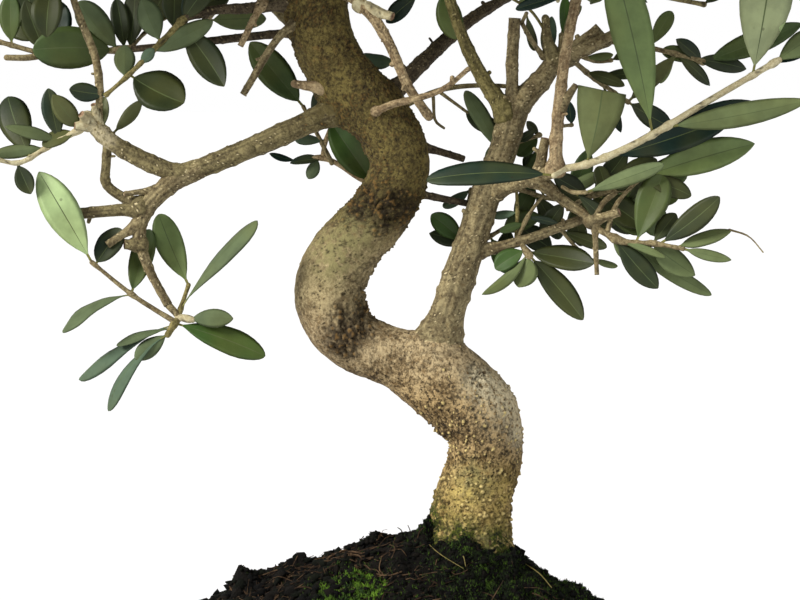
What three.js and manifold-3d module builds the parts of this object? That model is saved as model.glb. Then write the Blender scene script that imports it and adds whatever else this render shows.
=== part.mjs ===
// Olive bonsai with an S-shaped trunk, standing in a plain oval pot. Millimetres, +Z up.
// +X is to the right of the front view and -Y faces the viewer.
// The origin is the middle of the pot's flat underside.
import * as THREE from 'three';
import { mergeVertices } from 'three/addons/utils/BufferGeometryUtils.js';
import Module from 'manifold-3d';

const wasm = await Module();
wasm.setup();

// Clearance between neighbouring pieces.
const GAP = 0.3;

// Pot.
const POT_LENGTH = 232;
const POT_WIDTH = 172;
const POT_HEIGHT = 55;
const POT_FOOT_LENGTH = 184;
const POT_FOOT_HEIGHT = 5;
const POT_WAIST_LENGTH = 198;
const POT_LIP_HEIGHT = 10;
const POT_LIP_OUT = 5;
const POT_WALL = 9;
const POT_FLOOR = 10;

// Soil mound.
const SOIL_EDGE_HEIGHT = 50;
const SOIL_SEAT_LENGTH = 64;
const SOIL_SEAT_OFFSET = 14;
const SOIL_LEFT_BULGE = 9;
const GROUND_HEIGHT = 90;
const SOIL_STEPS = 7;

// Trunk: the diameter at each distance along it, and the flare of its foot.
const TRUNK_WIDTHS = [[0, 31], [43, 31], [58, 35], [99, 24.5], [141, 29], [185, 25], [285, 26], [346, 12]];
const TRUNK_FLARE = 6;
const TRUNK_FLARE_HEIGHT = 9;
const TRUNK_LINE = [
  [24, 0, GROUND_HEIGHT], [26, 0, 110], [31, -1, 132], [27, -1, 146], [13, 0, 159], [-8, 2, 168.5],
  [-28, 4, 179], [-35, 5, 197], [-27, 4, 215], [-14, 1, 229], [-5, -3, 250], [-12, -4, 268],
  [-33, -2, 293], [-40, 1, 319], [-35, 3, 340], [-22, 2, 358], [-10, 0, 374],
];
const TRUNK_SIDES = 12;
const TRUNK_RINGS = 38;

// Boughs.
const BOUGH_SIDES = 6;
const BOUGH_RING_SPACING = 11;
const COLLAR_SHARE = 1.3;
const COLLAR_LENGTH_SHARE = 0.2;
const COLLAR_LENGTH_WIDTHS = 1.2;
const BALL_SPACING = 3;
const STUB_SIDES = 5;

// Twigs and leaves.
const TWIG_SIDES = 3;
const TWIG_RING_SPACING = 14;
const STEM_WIDTH = 3.4;
const SHOOT_WIDTH = 2.4;
const SHOOT_TIP_WIDTH = 1.5;
const LEAF_LENGTH = 37;
const LEAF_WIDTH_SHARE = 0.35;
const LEAF_THICKNESS = 0.8;
const LEAF_ROOT = 0.5;
const LEAF_CLEARANCE = 1.2;
const PAIR_SPACING = 10;
const SHORTEST_LEAF = 20;
const SHORTEST_EDGE = 0.004;
const BARE_SHARE = 0.28;
const STEM_BARE_SHARE = 0.6;
const GOLDEN_ANGLE = Math.PI * (3 - Math.sqrt(5));
const CROWN_MIDDLE = new THREE.Vector3(-20, 0, 325);
const BORDER_CLEARANCE = 0.5;

// How leaves lie: towards the viewer in the sprays, up and outward in the crown. Angles are in degrees.
const VIEWER_FACE = new THREE.Vector3(0, -1, 0.35);
const SPRAY_LEAN = 44;
const SPRAY_JITTER = 0.55;
const LEAF_LIGHT = new THREE.Vector3(0, 0, 0.8);
const LEAF_FORWARD = 0.3;
const LEAF_JITTER = 0.5;
const LEAF_SPREAD = [66, 36];
const LEAF_SPREAD_RANGE = 24;
const LEAF_LENGTHS = [0.78, 1.16];
const LEAF_WIDTHS = [0.85, 1.15];
const LEAF_ROOM = 0.96;
const PAIR_TURN = 0.7;

// How shoots stand on the stem of a crown mass.
const STEM_PAST_MIDDLE = 0.45;
const STEM_BOW = 4;
const FIRST_SHOOT = 0.3;
const LAST_SHOOT = 0.92;
const SHOOT_TURN = 0.6;
const SHOOT_RISE = [2, 48];
const SHOOT_RISE_SPREAD = 24;
const SHOOT_REACH = [0.34, 0.56];
const SHOOT_BOW = 0.1;

// Each bough: its centre line, its diameter at both ends, and its pruned stubs.
const BOUGHS = {
  bough_left: { line: [[-21, -2, 275], [-39, -6, 269], [-69, -10, 256], [-97, -12, 245]], base: 9.6, tip: 8 },
  bough_left_upper: { line: [[-97, -12, 247], [-122, -14, 258], [-134, -15, 269]], base: 6.6, tip: 6.2 },
  bough_left_lower: {
    line: [[-98, -12, 244], [-110, -14, 232], [-113, -15, 221], [-109, -15, 207], [-101, -16, 192]],
    base: 7.6,
    tip: 3.4,
    stubs: [
      { line: [[-112, -14, 232], [-138, -17, 230]], base: 5, tip: 4.6 },
      { line: [[-105, -13, 240], [-119, -16, 238]], base: 2.6, tip: 2.2 },
      { line: [[-113, -15, 226], [-126, -18, 217]], base: 3.6, tip: 3.2 },
      { line: [[-112, -15, 217], [-119, -17, 217]], base: 4.4, tip: 3.6 },
      { line: [[-112, -13, 234], [-119, -9, 237], [-127, -6, 243], [-125, -4, 249]], base: 3, tip: 2.6 },
    ],
  },
  bough_left_riser: {
    line: [[-130, -15, 267], [-129, -15, 276], [-130, -16, 292], [-139, -18, 318], [-141, -20, 334]],
    base: 3.4,
    tip: 2.8,
  },
  bough_upper_left: {
    line: [[-38, 0, 306], [-71, 5, 303], [-98, 8, 300], [-119, 10, 298]],
    base: 3.8,
    tip: 2.9,
  },
  bough_top_left: {
    line: [[-40, 0, 319], [-65, -6, 315], [-82, -9, 314], [-93, -12, 311]],
    base: 5.4,
    tip: 3.4,
  },
  bough_stub_right: {
    line: [[-34, 0, 328], [-17, -12, 312], [-9, -15, 299], [-2, -16, 283], [7, -17, 270]],
    base: 5.2,
    tip: 3.6,
  },
  bough_right: {
    line: [
      [12, 0, 158], [10.7, 0, 172], [13.7, 0, 184], [21.6, 1, 208], [32, 2, 239], [38, 3, 255], [43, 4, 272],
    ],
    base: 14.4,
    tip: 11.4,
    stubs: [{ line: [[42, 4, 268], [42, 3, 294], [43, 3, 311]], base: 5.4, tip: 4.8 }],
  },
  bough_right_inner: {
    line: [[40, 3, 270], [30, 1, 285], [22, -1, 301], [16, -3, 318], [14, -4, 331]],
    base: 6.2,
    tip: 4.4,
  },
  bough_right_main: {
    line: [[43, 4, 272], [55, 7, 286], [61, 9, 293], [82, 13, 302]],
    base: 9.6,
    tip: 5.6,
    stubs: [{ line: [[66, 10, 295], [79, 9, 307]], base: 5.2, tip: 4.8 }],
  },
  bough_right_side: {
    line: [[32, 2, 237], [49, -12, 244], [59, -20, 248]],
    base: 5.4,
    tip: 5.8,
    stubs: [{ line: [[52, -14, 245], [55, -17, 261]], base: 4.2, tip: 3.8 }],
  },
  bough_right_riser: {
    line: [[59, -20, 248], [60, -22, 271], [63, -23, 297], [67, -24, 318], [68, -25, 332]],
    base: 5,
    tip: 4.2,
    stubs: [{ line: [[61, -22, 273], [67, -25, 283]], base: 3, tip: 2.6 }],
  },
  bough_right_drop: {
    line: [[50, -13, 244], [63, -19, 235], [72, -22, 229], [76, -23, 224]],
    base: 4.4,
    tip: 3.6,
    stubs: [
      { line: [[75, -23, 226], [76, -24, 205]], base: 2.3, tip: 2 },
      { line: [[73, -22, 227], [85, -26, 231]], base: 4, tip: 3.6 },
    ],
  },
  bough_right_low: { line: [[24, 1, 212], [46, -3, 218], [62, -7, 224], [70, -9, 227]], base: 4.6, tip: 3.8 },
  bough_back_right: {
    line: [[-14, 0, 274], [8, 20, 296], [25, 36, 311], [44, 52, 323]],
    base: 7.2,
    tip: 4.2,
  },
  bough_back_left: { line: [[-33, -2, 292], [-54, 24, 312], [-76, 46, 332]], base: 5.6, tip: 3.8 },
  bough_crown_front: { line: [[-36, 2, 334], [-34, -22, 346], [-28, -44, 356]], base: 6, tip: 4 },
  bough_crown_back: { line: [[-38, 2, 328], [-34, 30, 342], [-26, 52, 352]], base: 6, tip: 4 },
  bough_crown_left: { line: [[-34, 3, 341], [-62, 0, 352], [-84, -6, 362]], base: 6, tip: 3.8 },
  bough_crown_right: { line: [[-26, 2, 353], [4, 8, 356], [34, 16, 362]], base: 6, tip: 3.8 },
};
const TRUNK_STUBS = [
  { line: [[-4, 0, 260], [22, 8, 252]], base: 3.6, tip: 3 },
  { line: [[-10, 0, 240], [25, 8, 233]], base: 3.2, tip: 2.8 },
  { line: [[-40, -2, 314], [-54, -9, 304], [-70, -12, 279]], base: 3.4, tip: 2.9 },
  { line: [[-30, -5, 281], [-48, -12, 283]], base: 4.6, tip: 4 },
  { line: [[-14, -6, 274], [-1, -17, 277], [11, -18, 279], [22, -20, 289]], base: 2.8, tip: 2 },
];

// Sprays seen against the sky in the front view. The first twig of each is its stem, which meets its limb.
// A leaf is [share along its twig, angle in the front view, length as seen there, width, tilt to the back].
const SPRAYS = {
  foliage_left_hanging: {
    seed: 11,
    twigs: [
      { line: [[-101, -16, 192], [-97, -16, 187], [-98, -17, 184]], base: 3.2, tip: 2.6, leaves: [] },
      {
        line: [[-98, -17, 185], [-115, -19, 196], [-132, -21, 210]],
        base: 2.3,
        tip: 1.6,
        leaves: [[0.5, -152, 34, 9], [0.51, 76, 27, 10, 30], [1, 121, 44, 15], [0.96, 56, 18, 11, 20]],
      },
      {
        line: [[-98, -17, 185], [-101, -19, 180]],
        base: 2.4,
        tip: 1.8,
        leaves: [
          [0.23, -152, 46, 10], [0.4, -166, 24, 8], [1, -128, 41, 11], [0.9, -143, 17, 8], [0.1, -19, 40, 14],
        ],
      },
      {
        line: [[-97, -16, 187], [-93, -11, 200]],
        base: 2.2,
        tip: 1.6,
        leaves: [[0.25, 49, 49, 9], [1, 114, 32, 11, 15]],
      },
      { line: [[-97, -16, 187], [-91, -17, 186]], base: 3, tip: 2.6, leaves: [[0.7, 1, 19, 8]] },
    ],
  },
  foliage_left_outer: {
    seed: 12,
    twigs: [
      {
        line: [[-133, -15, 267], [-151, -18, 257], [-162, -20, 251], [-173, -22, 253]],
        base: 2.8,
        tip: 1.6,
        leaves: [
          [0.1, 128, 18, 9], [0.14, -157, 15, 8], [0.32, 102, 22, 9], [0.32, 165, 23, 8], [0.46, -173, 18, 8],
          [0.63, 113, 28, 14, 25], [0.76, -66, 14, 8], [0.93, 156, 23, 13], [1, -139, 20, 11],
          [1, -170, 22, 11],
        ],
      },
    ],
  },
  foliage_upper_left: {
    seed: 13,
    twigs: [
      {
        line: [[-119, 10, 298], [-135, 10, 297], [-152, 9, 296], [-173, 8, 301], [-186, 8, 304]],
        base: 2.8,
        tip: 1.6,
        leaves: [
          [0.08, 180, 31, 17, -20], [0.06, 129, 26, 13], [0.26, 77, 20, 11], [0.47, 87, 23, 14],
          [0.51, 111, 24, 11],
          [0.73, 92, 22, 10], [0.81, -149, 20, 11], [1, 149, 20, 13], [1, -167, 20, 11],
        ],
      },
    ],
  },
  foliage_top_left: {
    seed: 14,
    twigs: [
      {
        line: [[-93, -12, 311], [-104, -14, 300], [-117, -15, 287], [-126, -16, 279]],
        base: 2.8,
        tip: 1.5,
        leaves: [
          [0.06, 25, 24, 14], [0.09, -54, 32, 13], [0.17, 90, 18, 11], [0.33, 114, 20, 11], [0.46, 27, 29, 9],
          [0.73, -27, 26, 18], [0.78, 90, 14, 9], [1, 172, 15, 8], [1, -106, 14, 8],
        ],
      },
    ],
  },
  foliage_trunk_back: {
    seed: 15,
    twigs: [
      {
        line: [[-12, 6, 240], [-21, 18, 243], [-37, 21, 252], [-49, 22, 251]],
        base: 2.6,
        tip: 1.5,
        leaves: [
          [0.6, -57, 24, 10], [0.66, 51, 20, 13], [0.84, 114, 14, 8], [0.86, -74, 13, 8], [1, 165, 15, 8],
          [1, -154, 14, 8],
        ],
      },
      {
        line: [[-34, 20, 250], [-46, 18, 274]],
        base: 2,
        tip: 1.5,
        leaves: [[1, 130, 36, 14], [0.7, 62, 22, 10]],
      },
    ],
  },
  foliage_right_long: {
    seed: 16,
    twigs: [
      {
        line: [[59, -20, 248], [73, -24, 251], [95, -28, 261], [120, -30, 276], [149, -32, 293]],
        base: 3.4,
        tip: 2.8,
        leaves: [
          [0.13, 79, 28, 19, -12], [0.39, 102, 62, 18, -10], [0.21, 18, 59, 11, 12],
          [0.48, 11, 58, 10, -13], [0.53, 1, 38, 8, 18], [0.88, 82, 38, 18, -10], [0.98, 31, 24, 11],
        ],
      },
      { line: [[64, -21, 249], [58, -28, 246]], base: 2.6, tip: 2, leaves: [[1, -178, 53, 12, 2]] },
    ],
  },
  foliage_right_drop: {
    seed: 17,
    twigs: [
      {
        line: [[76, -23, 224], [86, -26, 219], [100, -27, 218], [111, -28, 216]],
        base: 2.8,
        tip: 1.6,
        leaves: [
          [0.47, 68, 30, 11], [0.73, 40, 31, 10], [0.92, 18, 22, 9], [1, -10, 20, 9], [0.32, -31, 44, 10],
          [0.64, -36, 23, 11], [0.23, -49, 27, 10],
        ],
      },
      {
        line: [[80, -24, 222], [84, -22, 234], [94, -22, 245]],
        base: 2.4,
        tip: 1.6,
        leaves: [[0.5, 32, 34, 8, 20], [1, 16, 50, 14, 12], [1, -20, 22, 9]],
      },
    ],
  },
  foliage_right_low: {
    seed: 18,
    twigs: [
      {
        line: [[45, -3, 218], [49, -7, 212]],
        base: 2.4,
        tip: 1.8,
        leaves: [
          [1, -50, 35, 11], [0.72, -9, 28, 12, -20], [1, -110, 15, 8], [0.6, -148, 17, 8],
          [0.85, -140, 25, 8, -25],
        ],
      },
    ],
  },
  foliage_right_bud: {
    seed: 19,
    twigs: [
      {
        line: [[26, 1, 217], [16, -2, 221]],
        base: 2.2,
        tip: 1.6,
        leaves: [[0.8, 144, 13, 8], [0.9, 100, 12, 8], [1, -152, 11, 8]],
      },
    ],
  },
  foliage_right_bend: {
    seed: 20,
    twigs: [
      {
        line: [[38, 0, 259], [30, -8, 264]],
        base: 2.2,
        tip: 1.6,
        leaves: [[0.85, 126, 23, 10], [1, 150, 14, 8], [1, -140, 13, 8]],
      },
    ],
  },
  foliage_right_back: {
    seed: 23,
    twigs: [
      {
        line: [[66, 10, 295], [76, 18, 287], [92, 22, 276]],
        base: 2.6,
        tip: 1.6,
        leaves: [
          [0.35, -20, 17, 9], [0.5, 5, 23, 9], [0.62, -68, 22, 9], [1, 45, 27, 10], [1, -30, 22, 10],
          [0.8, -120, 20, 10],
        ],
      },
    ],
  },
  foliage_right_mid: {
    seed: 24,
    twigs: [
      {
        line: [[66, -20, 233], [72, -10, 236], [80, -6, 238], [95, -3, 240]],
        base: 2.4,
        tip: 1.6,
        leaves: [
          [0.5, -35, 24, 12], [0.65, 35, 24, 11], [1, -65, 22, 12], [0.4, 150, 18, 9], [1, 20, 22, 10],
          [0.7, -110, 18, 10],
        ],
      },
    ],
  },
  foliage_right_upper: {
    seed: 21,
    twigs: [
      {
        line: [[82, 13, 302], [105, 20, 298], [124, 24, 293], [151, 28, 294]],
        base: 2.8,
        tip: 1.6,
        leaves: [
          [0.22, 54, 22, 10], [0.34, -20, 20, 8], [0.47, -48, 23, 9], [0.54, 101, 17, 10], [0.62, 24, 45, 10],
          [1, 29, 20, 10], [1, -18, 21, 8],
        ],
      },
    ],
  },
};

// Masses of the crown: the limb whose tip each meets, the middle and half sizes of its space, its number of
// side shoots and its seed.
const crownMass = (from, middle, half, shoots, seed) => ({ from, middle, half, shoots, seed });
const MASSES = {
  foliage_apex: crownMass('trunk', [-4, -2, 410], [62, 60, 50], 10, 31),
  foliage_crown_front: crownMass('bough_crown_front', [-24, -82, 380], [62, 54, 46], 8, 32),
  foliage_crown_back: crownMass('bough_crown_back', [-22, 88, 374], [64, 54, 48], 8, 33),
  foliage_crown_left: crownMass('bough_crown_left', [-108, -4, 390], [58, 56, 48], 8, 34),
  foliage_crown_right: crownMass('bough_crown_right', [64, 26, 392], [58, 56, 48], 9, 35),
  foliage_back_left: crownMass('bough_back_left', [-104, 76, 358], [58, 52, 46], 7, 36),
  foliage_back_right: crownMass('bough_back_right', [72, 80, 356], [58, 52, 46], 7, 37),
  foliage_left_high: crownMass('bough_left_riser', [-152, -38, 368], [52, 52, 44], 7, 38),
  foliage_right_high: crownMass('bough_right_riser', [96, -44, 372], [58, 54, 44], 7, 39),
  foliage_right_crown: crownMass('bough_right_inner', [30, -36, 372], [48, 50, 44], 8, 40),
};

const finish = (color, roughness) => new THREE.MeshStandardMaterial({ color, roughness, metalness: 0 });
const STONEWARE = finish(0x6a5648, 0.75);
const EARTH = finish(0x2c231a, 0.95);
const BARK = finish(0x85754f, 0.9);
const YOUNG_BARK = finish(0x8c7c58, 0.85);
const FOLIAGE = finish(0x4c6840, 0.6);

const radians = (degrees) => (degrees * Math.PI) / 180;
const mix = (a, b, share) => a + (b - a) * share;
const smooth = (share) => share * share * (3 - 2 * share);
const vector = ([x, y, z]) => new THREE.Vector3(x, y, z);

/** A generator of even numbers from 0 to 1 that always starts the same for a seed. */
function seeded(seed) {
  let state = seed >>> 0;
  return () => {
    state = (state + 0x6d2b79f5) >>> 0;
    let t = state;
    t = Math.imul(t ^ (t >>> 15), t | 1);
    t ^= t + Math.imul(t ^ (t >>> 7), t | 61);
    return ((t ^ (t >>> 14)) >>> 0) / 4294967296;
  };
}

/** The closed solid of a geometry, its corners joined. */
function solid(geometry) {
  const bare = new THREE.BufferGeometry();
  bare.setAttribute('position', geometry.getAttribute('position'));
  if (geometry.index) bare.setIndex(geometry.index);
  const joined = mergeVertices(bare, 1e-4);
  const vertProperties = new Float32Array(joined.getAttribute('position').array);
  const triVerts = new Uint32Array(joined.index.array);
  return new wasm.Manifold(new wasm.Mesh({ numProp: 3, vertProperties, triVerts }));
}

/** The largest body of a solid, with sealed hollows filled and loose scraps dropped. */
function mainBody(whole) {
  return whole.decompose().sort((a, b) => b.volume() - a.volume())[0];
}

/** A named mesh of a solid. */
function named(name, whole, material) {
  const { vertProperties, triVerts } = whole.getMesh();
  const geometry = new THREE.BufferGeometry();
  geometry.setAttribute('position', new THREE.BufferAttribute(new Float32Array(vertProperties), 3));
  geometry.setIndex(new THREE.BufferAttribute(new Uint32Array(triVerts), 1));
  geometry.computeVertexNormals();
  const mesh = new THREE.Mesh(geometry, material);
  mesh.name = name;
  return mesh;
}

/** The diameter at a distance along a limb, eased between the given [distance, diameter] pairs. */
function widthAt(widths, distance) {
  const last = widths[widths.length - 1];
  if (distance >= last[0]) return last[1];
  const next = widths.findIndex(([from]) => from > distance);
  const [a, widthA] = widths[next - 1];
  const [b, widthB] = widths[next];
  return mix(widthA, widthB, smooth((distance - a) / (b - a)));
}

/** A round tapering solid along a curve, its radius a function of the distance along it. */
function tapered(curve, radiusAt, sides, rings, { ends = 0, flatFoot = false } = {}) {
  const outline = new THREE.Shape();
  for (let i = 0; i < sides; i += 1) {
    const turn = (i / sides) * Math.PI * 2;
    if (i === 0) outline.moveTo(1, 0);
    else outline.lineTo(Math.cos(turn), Math.sin(turn));
  }
  const geometry = new THREE.ExtrudeGeometry(outline, { depth: rings, steps: rings, bevelEnabled: false });
  const frames = curve.computeFrenetFrames(rings, false);
  const length = curve.getLength();
  const place = geometry.getAttribute('position');
  const point = new THREE.Vector3();
  for (let i = 0; i < place.count; i += 1) {
    const ring = Math.round(place.getZ(i));
    const radius = radiusAt((ring / rings) * length);
    curve.getPointAt(ring / rings, point);
    const height = point.z;
    point.addScaledVector(frames.normals[ring], place.getX(i) * radius);
    point.addScaledVector(frames.binormals[ring], place.getY(i) * radius);
    if (ring === 0) point.addScaledVector(frames.tangents[ring], -ends);
    if (ring === rings) point.addScaledVector(frames.tangents[ring], ends);
    if (flatFoot && ring === 0) point.z = height;
    place.setXYZ(i, point.x, point.y, point.z);
  }
  return solid(geometry);
}

/** The curve through a limb's places. */
const through = (line) => new THREE.CatmullRomCurve3(line.map(vector), false, 'centripetal');

/** A bough or stub: its solid, the same a clearance larger, and the balls of its clearance tests. */
function limb({ line, base, tip, stubs = [] }, sides) {
  const curve = through(line);
  const length = curve.getLength();
  const collar = Math.min(length * COLLAR_LENGTH_SHARE, base * COLLAR_LENGTH_WIDTHS);
  const widths = [[0, base * COLLAR_SHARE], [collar, base], [length, tip]];
  const rings = Math.max(2, Math.round(length / BOUGH_RING_SPACING));
  const radiusAt = (distance) => widthAt(widths, distance) / 2;
  const wider = (distance) => radiusAt(distance) + GAP;
  const parts = [tapered(curve, radiusAt, sides, rings)];
  const shells = [tapered(curve, wider, sides, rings, { ends: GAP })];
  const balls = [];
  for (let d = 0; d <= length; d += BALL_SPACING) {
    balls.push({ at: curve.getPointAt(d / length), radius: radiusAt(d) });
  }
  for (const stub of stubs) {
    const side = limb(stub, STUB_SIDES);
    parts.push(side.whole);
    shells.push(side.shell);
    balls.push(...side.balls);
  }
  const whole = wasm.Manifold.union(parts);
  return { whole, shell: wasm.Manifold.union(shells), balls, tip: curve.getPointAt(1) };
}

/** The trunk, from its flat foot to its tip, with its stubs. */
function trunkLimb() {
  const curve = through(TRUNK_LINE);
  const length = curve.getLength();
  const flare = (distance) => TRUNK_FLARE * Math.exp(-distance / TRUNK_FLARE_HEIGHT);
  const radiusAt = (distance) => (widthAt(TRUNK_WIDTHS, distance) + flare(distance)) / 2;
  const wider = (distance) => radiusAt(distance) + GAP;
  const parts = [tapered(curve, radiusAt, TRUNK_SIDES, TRUNK_RINGS, { flatFoot: true })];
  const shells = [tapered(curve, wider, TRUNK_SIDES, TRUNK_RINGS, { ends: GAP })];
  const balls = [];
  for (let d = 0; d <= length; d += BALL_SPACING) {
    balls.push({ at: curve.getPointAt(d / length), radius: radiusAt(d) });
  }
  for (const stub of TRUNK_STUBS) {
    const side = limb(stub, STUB_SIDES);
    parts.push(side.whole);
    shells.push(side.shell);
    balls.push(...side.balls);
  }
  const whole = wasm.Manifold.union(parts);
  return { whole, shell: wasm.Manifold.union(shells), balls, tip: curve.getPointAt(1) };
}

/** The pot: one wall turned about its middle and drawn out into an oval, with a flat underside. */
function potSolid() {
  const foot = POT_FOOT_LENGTH / 2;
  const waist = POT_WAIST_LENGTH / 2;
  const lip = POT_LENGTH / 2;
  const lipFoot = POT_HEIGHT - POT_LIP_HEIGHT;
  const shoulder = lip - POT_LIP_OUT;
  const rim = lip - POT_WALL;
  const profile = [
    [0, 0], [foot - 1, 0], [foot, 1], [foot, POT_FOOT_HEIGHT], [waist, POT_FOOT_HEIGHT + 2],
    [mix(waist, shoulder, 0.6), mix(POT_FOOT_HEIGHT, lipFoot, 0.5)], [shoulder, lipFoot - 2], [lip, lipFoot],
    [lip, POT_HEIGHT - 2], [lip - 2, POT_HEIGHT], [rim + 1, POT_HEIGHT], [rim, POT_HEIGHT - 1],
    [rim - 3, lipFoot], [waist - POT_WALL, POT_FLOOR + 4], [waist - POT_WALL - 4, POT_FLOOR], [0, POT_FLOOR],
  ];
  return solid(turned(profile));
}

/** The soil: it fills the pot and rises in a mound to a flat seat under the trunk. */
function soilSolid() {
  const waist = POT_WAIST_LENGTH / 2;
  const rim = POT_LENGTH / 2 - POT_WALL;
  const lipFoot = POT_HEIGHT - POT_LIP_HEIGHT;
  const edge = rim - 3 + (3 * (SOIL_EDGE_HEIGHT - lipFoot)) / (POT_LIP_HEIGHT - 1) - 2 * GAP;
  const seat = GROUND_HEIGHT - GAP;
  const rise = seat - SOIL_EDGE_HEIGHT;
  const profile = [
    [0, POT_FLOOR + GAP], [waist - POT_WALL - 4 - GAP, POT_FLOOR + GAP],
    [waist - POT_WALL - 2 * GAP, POT_FLOOR + 4 + GAP], [rim - 3 - 2 * GAP, lipFoot + GAP],
    [edge, SOIL_EDGE_HEIGHT],
  ];
  for (let i = SOIL_STEPS - 1; i >= 0; i -= 1) {
    const share = i / SOIL_STEPS;
    profile.push([mix(SOIL_SEAT_LENGTH / 2, edge, share), seat - rise * share]);
  }
  profile.push([0, seat]);
  const geometry = turned(profile);
  const place = geometry.getAttribute('position');
  for (let i = 0; i < place.count; i += 1) {
    const down = Math.min(1, (seat - place.getZ(i)) / rise);
    place.setX(i, place.getX(i) + SOIL_SEAT_OFFSET * (1 - down) - SOIL_LEFT_BULGE * Math.sin(Math.PI * down));
  }
  return solid(geometry);
}

/** A profile turned about the Z axis, narrowed from front to back into the pot's oval. */
function turned(profile) {
  const points = profile.map(([out, up]) => new THREE.Vector2(out, up));
  const geometry = new THREE.LatheGeometry(points, 30);
  geometry.rotateX(Math.PI / 2);
  return geometry.scale(1, POT_WIDTH / POT_LENGTH, 1);
}

/** A leaf: a thin blade, creased along its middle, whose root is sunk into its twig. */
function leafSolid({ root, along, face, length, width }) {
  const across = new THREE.Vector3().crossVectors(face, along);
  const half = (length + LEAF_ROOT) / 2;
  const middle = root.clone().addScaledVector(along, half - LEAF_ROOT);
  const place = new THREE.Matrix4().makeBasis(
    along.clone().multiplyScalar(half * Math.SQRT1_2),
    across.multiplyScalar(width * 0.5 * Math.SQRT1_2),
    face.clone().multiplyScalar(LEAF_THICKNESS / 2),
  );
  place.setPosition(middle);
  return solid(new THREE.TetrahedronGeometry(Math.sqrt(3), 0).rotateZ(Math.PI / 4).applyMatrix4(place));
}

/** The places on a leaf that stand for it in clearance tests. */
function leafPlaces({ root, along, face, length, width }) {
  const across = new THREE.Vector3().crossVectors(face, along);
  const places = [0.3, 0.5, 0.75, 1].map((share) => root.clone().addScaledVector(along, length * share));
  for (const side of [-0.5, 0.5]) places.push(places[1].clone().addScaledVector(across, side * width));
  return places;
}

/** A leaf with its face turned square to its length. */
function leaf(root, along, facing, length, width) {
  const face = facing.clone().addScaledVector(along, -facing.dot(along)).normalize();
  return { root, along, face, length, width };
}

/** Three numbers either side of nought. */
function jitter(random, size) {
  const even = new THREE.Vector3(random() - 0.5, random() - 0.5, random() - 0.5);
  return even.multiplyScalar(2 * size);
}

/** The twigs and leaves of a spray seen in the front view. */
function placedSpray({ seed, twigs }) {
  const random = seeded(seed);
  const grown = { twigs: [], leaves: [] };
  for (const { line, base, tip, leaves } of twigs) {
    const curve = through(line);
    grown.twigs.push({ curve, base, tip, bends: line.length });
    for (const [share, clock, seen, width, tilt] of leaves) {
      const lean = radians(tilt ?? (random() - 0.5) * SPRAY_LEAN);
      const turn = radians(clock);
      const flat = Math.cos(lean);
      const along = new THREE.Vector3(Math.cos(turn) * flat, Math.sin(lean), Math.sin(turn) * flat);
      const facing = VIEWER_FACE.clone().add(jitter(random, SPRAY_JITTER));
      grown.leaves.push(leaf(curve.getPointAt(share), along, facing, seen / flat, width));
    }
  }
  return grown;
}

/** How far a ray runs from a place before it leaves a mass's space. */
function reach(place, way, middle, half) {
  const p = place.clone().sub(middle).divide(half);
  const d = way.clone().divide(half);
  const a = d.dot(d);
  const b = p.dot(d);
  const c = p.dot(p) - 1;
  return (-b + Math.sqrt(Math.max(0, b * b - a * c))) / a;
}

/** Two directions square to a way. */
function squareTo(way) {
  const up = Math.abs(way.z) > 0.95 ? new THREE.Vector3(1, 0, 0) : new THREE.Vector3(0, 0, 1);
  const first = new THREE.Vector3().crossVectors(way, up).normalize();
  return [first, new THREE.Vector3().crossVectors(first, way)];
}

/** The shoots of a crown mass: a stem through its middle, and side shoots wound round it. */
function massShoots(mass, start, random) {
  const middle = vector(mass.middle);
  const half = vector(mass.half);
  const toMiddle = middle.clone().sub(start);
  const end = middle.clone().addScaledVector(toMiddle.normalize(), STEM_PAST_MIDDLE * Math.min(...mass.half));
  const bend = start.clone().lerp(end, 0.5).add(new THREE.Vector3(0, 0, STEM_BOW));
  const stem = new THREE.QuadraticBezierCurve3(start, bend, end);
  const shoots = [{ curve: stem, base: STEM_WIDTH, tip: SHOOT_TIP_WIDTH }];
  for (let i = 0; i < mass.shoots; i += 1) {
    const share = mix(FIRST_SHOOT, LAST_SHOOT, (i + 0.5) / mass.shoots);
    const from = stem.getPointAt(share);
    const way = stem.getTangentAt(share);
    const [first, second] = squareTo(way);
    const around = i * GOLDEN_ANGLE + (random() - 0.5) * SHOOT_TURN;
    const rise = radians(mix(...SHOOT_RISE, share) + (random() - 0.5) * SHOOT_RISE_SPREAD);
    const out = first.multiplyScalar(Math.cos(around)).addScaledVector(second, Math.sin(around));
    const heading = out.multiplyScalar(Math.cos(rise)).addScaledVector(way, Math.sin(rise));
    const length = reach(from, heading, middle, half) * mix(...SHOOT_REACH, random());
    const to = from.clone().addScaledVector(heading, length);
    const bow = from.clone().lerp(to, 0.5).add(new THREE.Vector3(0, 0, SHOOT_BOW * length));
    const curve = new THREE.QuadraticBezierCurve3(from, bow, to);
    shoots.push({ curve, base: SHOOT_WIDTH, tip: SHOOT_TIP_WIDTH, bends: 2 });
  }
  return shoots;
}

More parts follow.
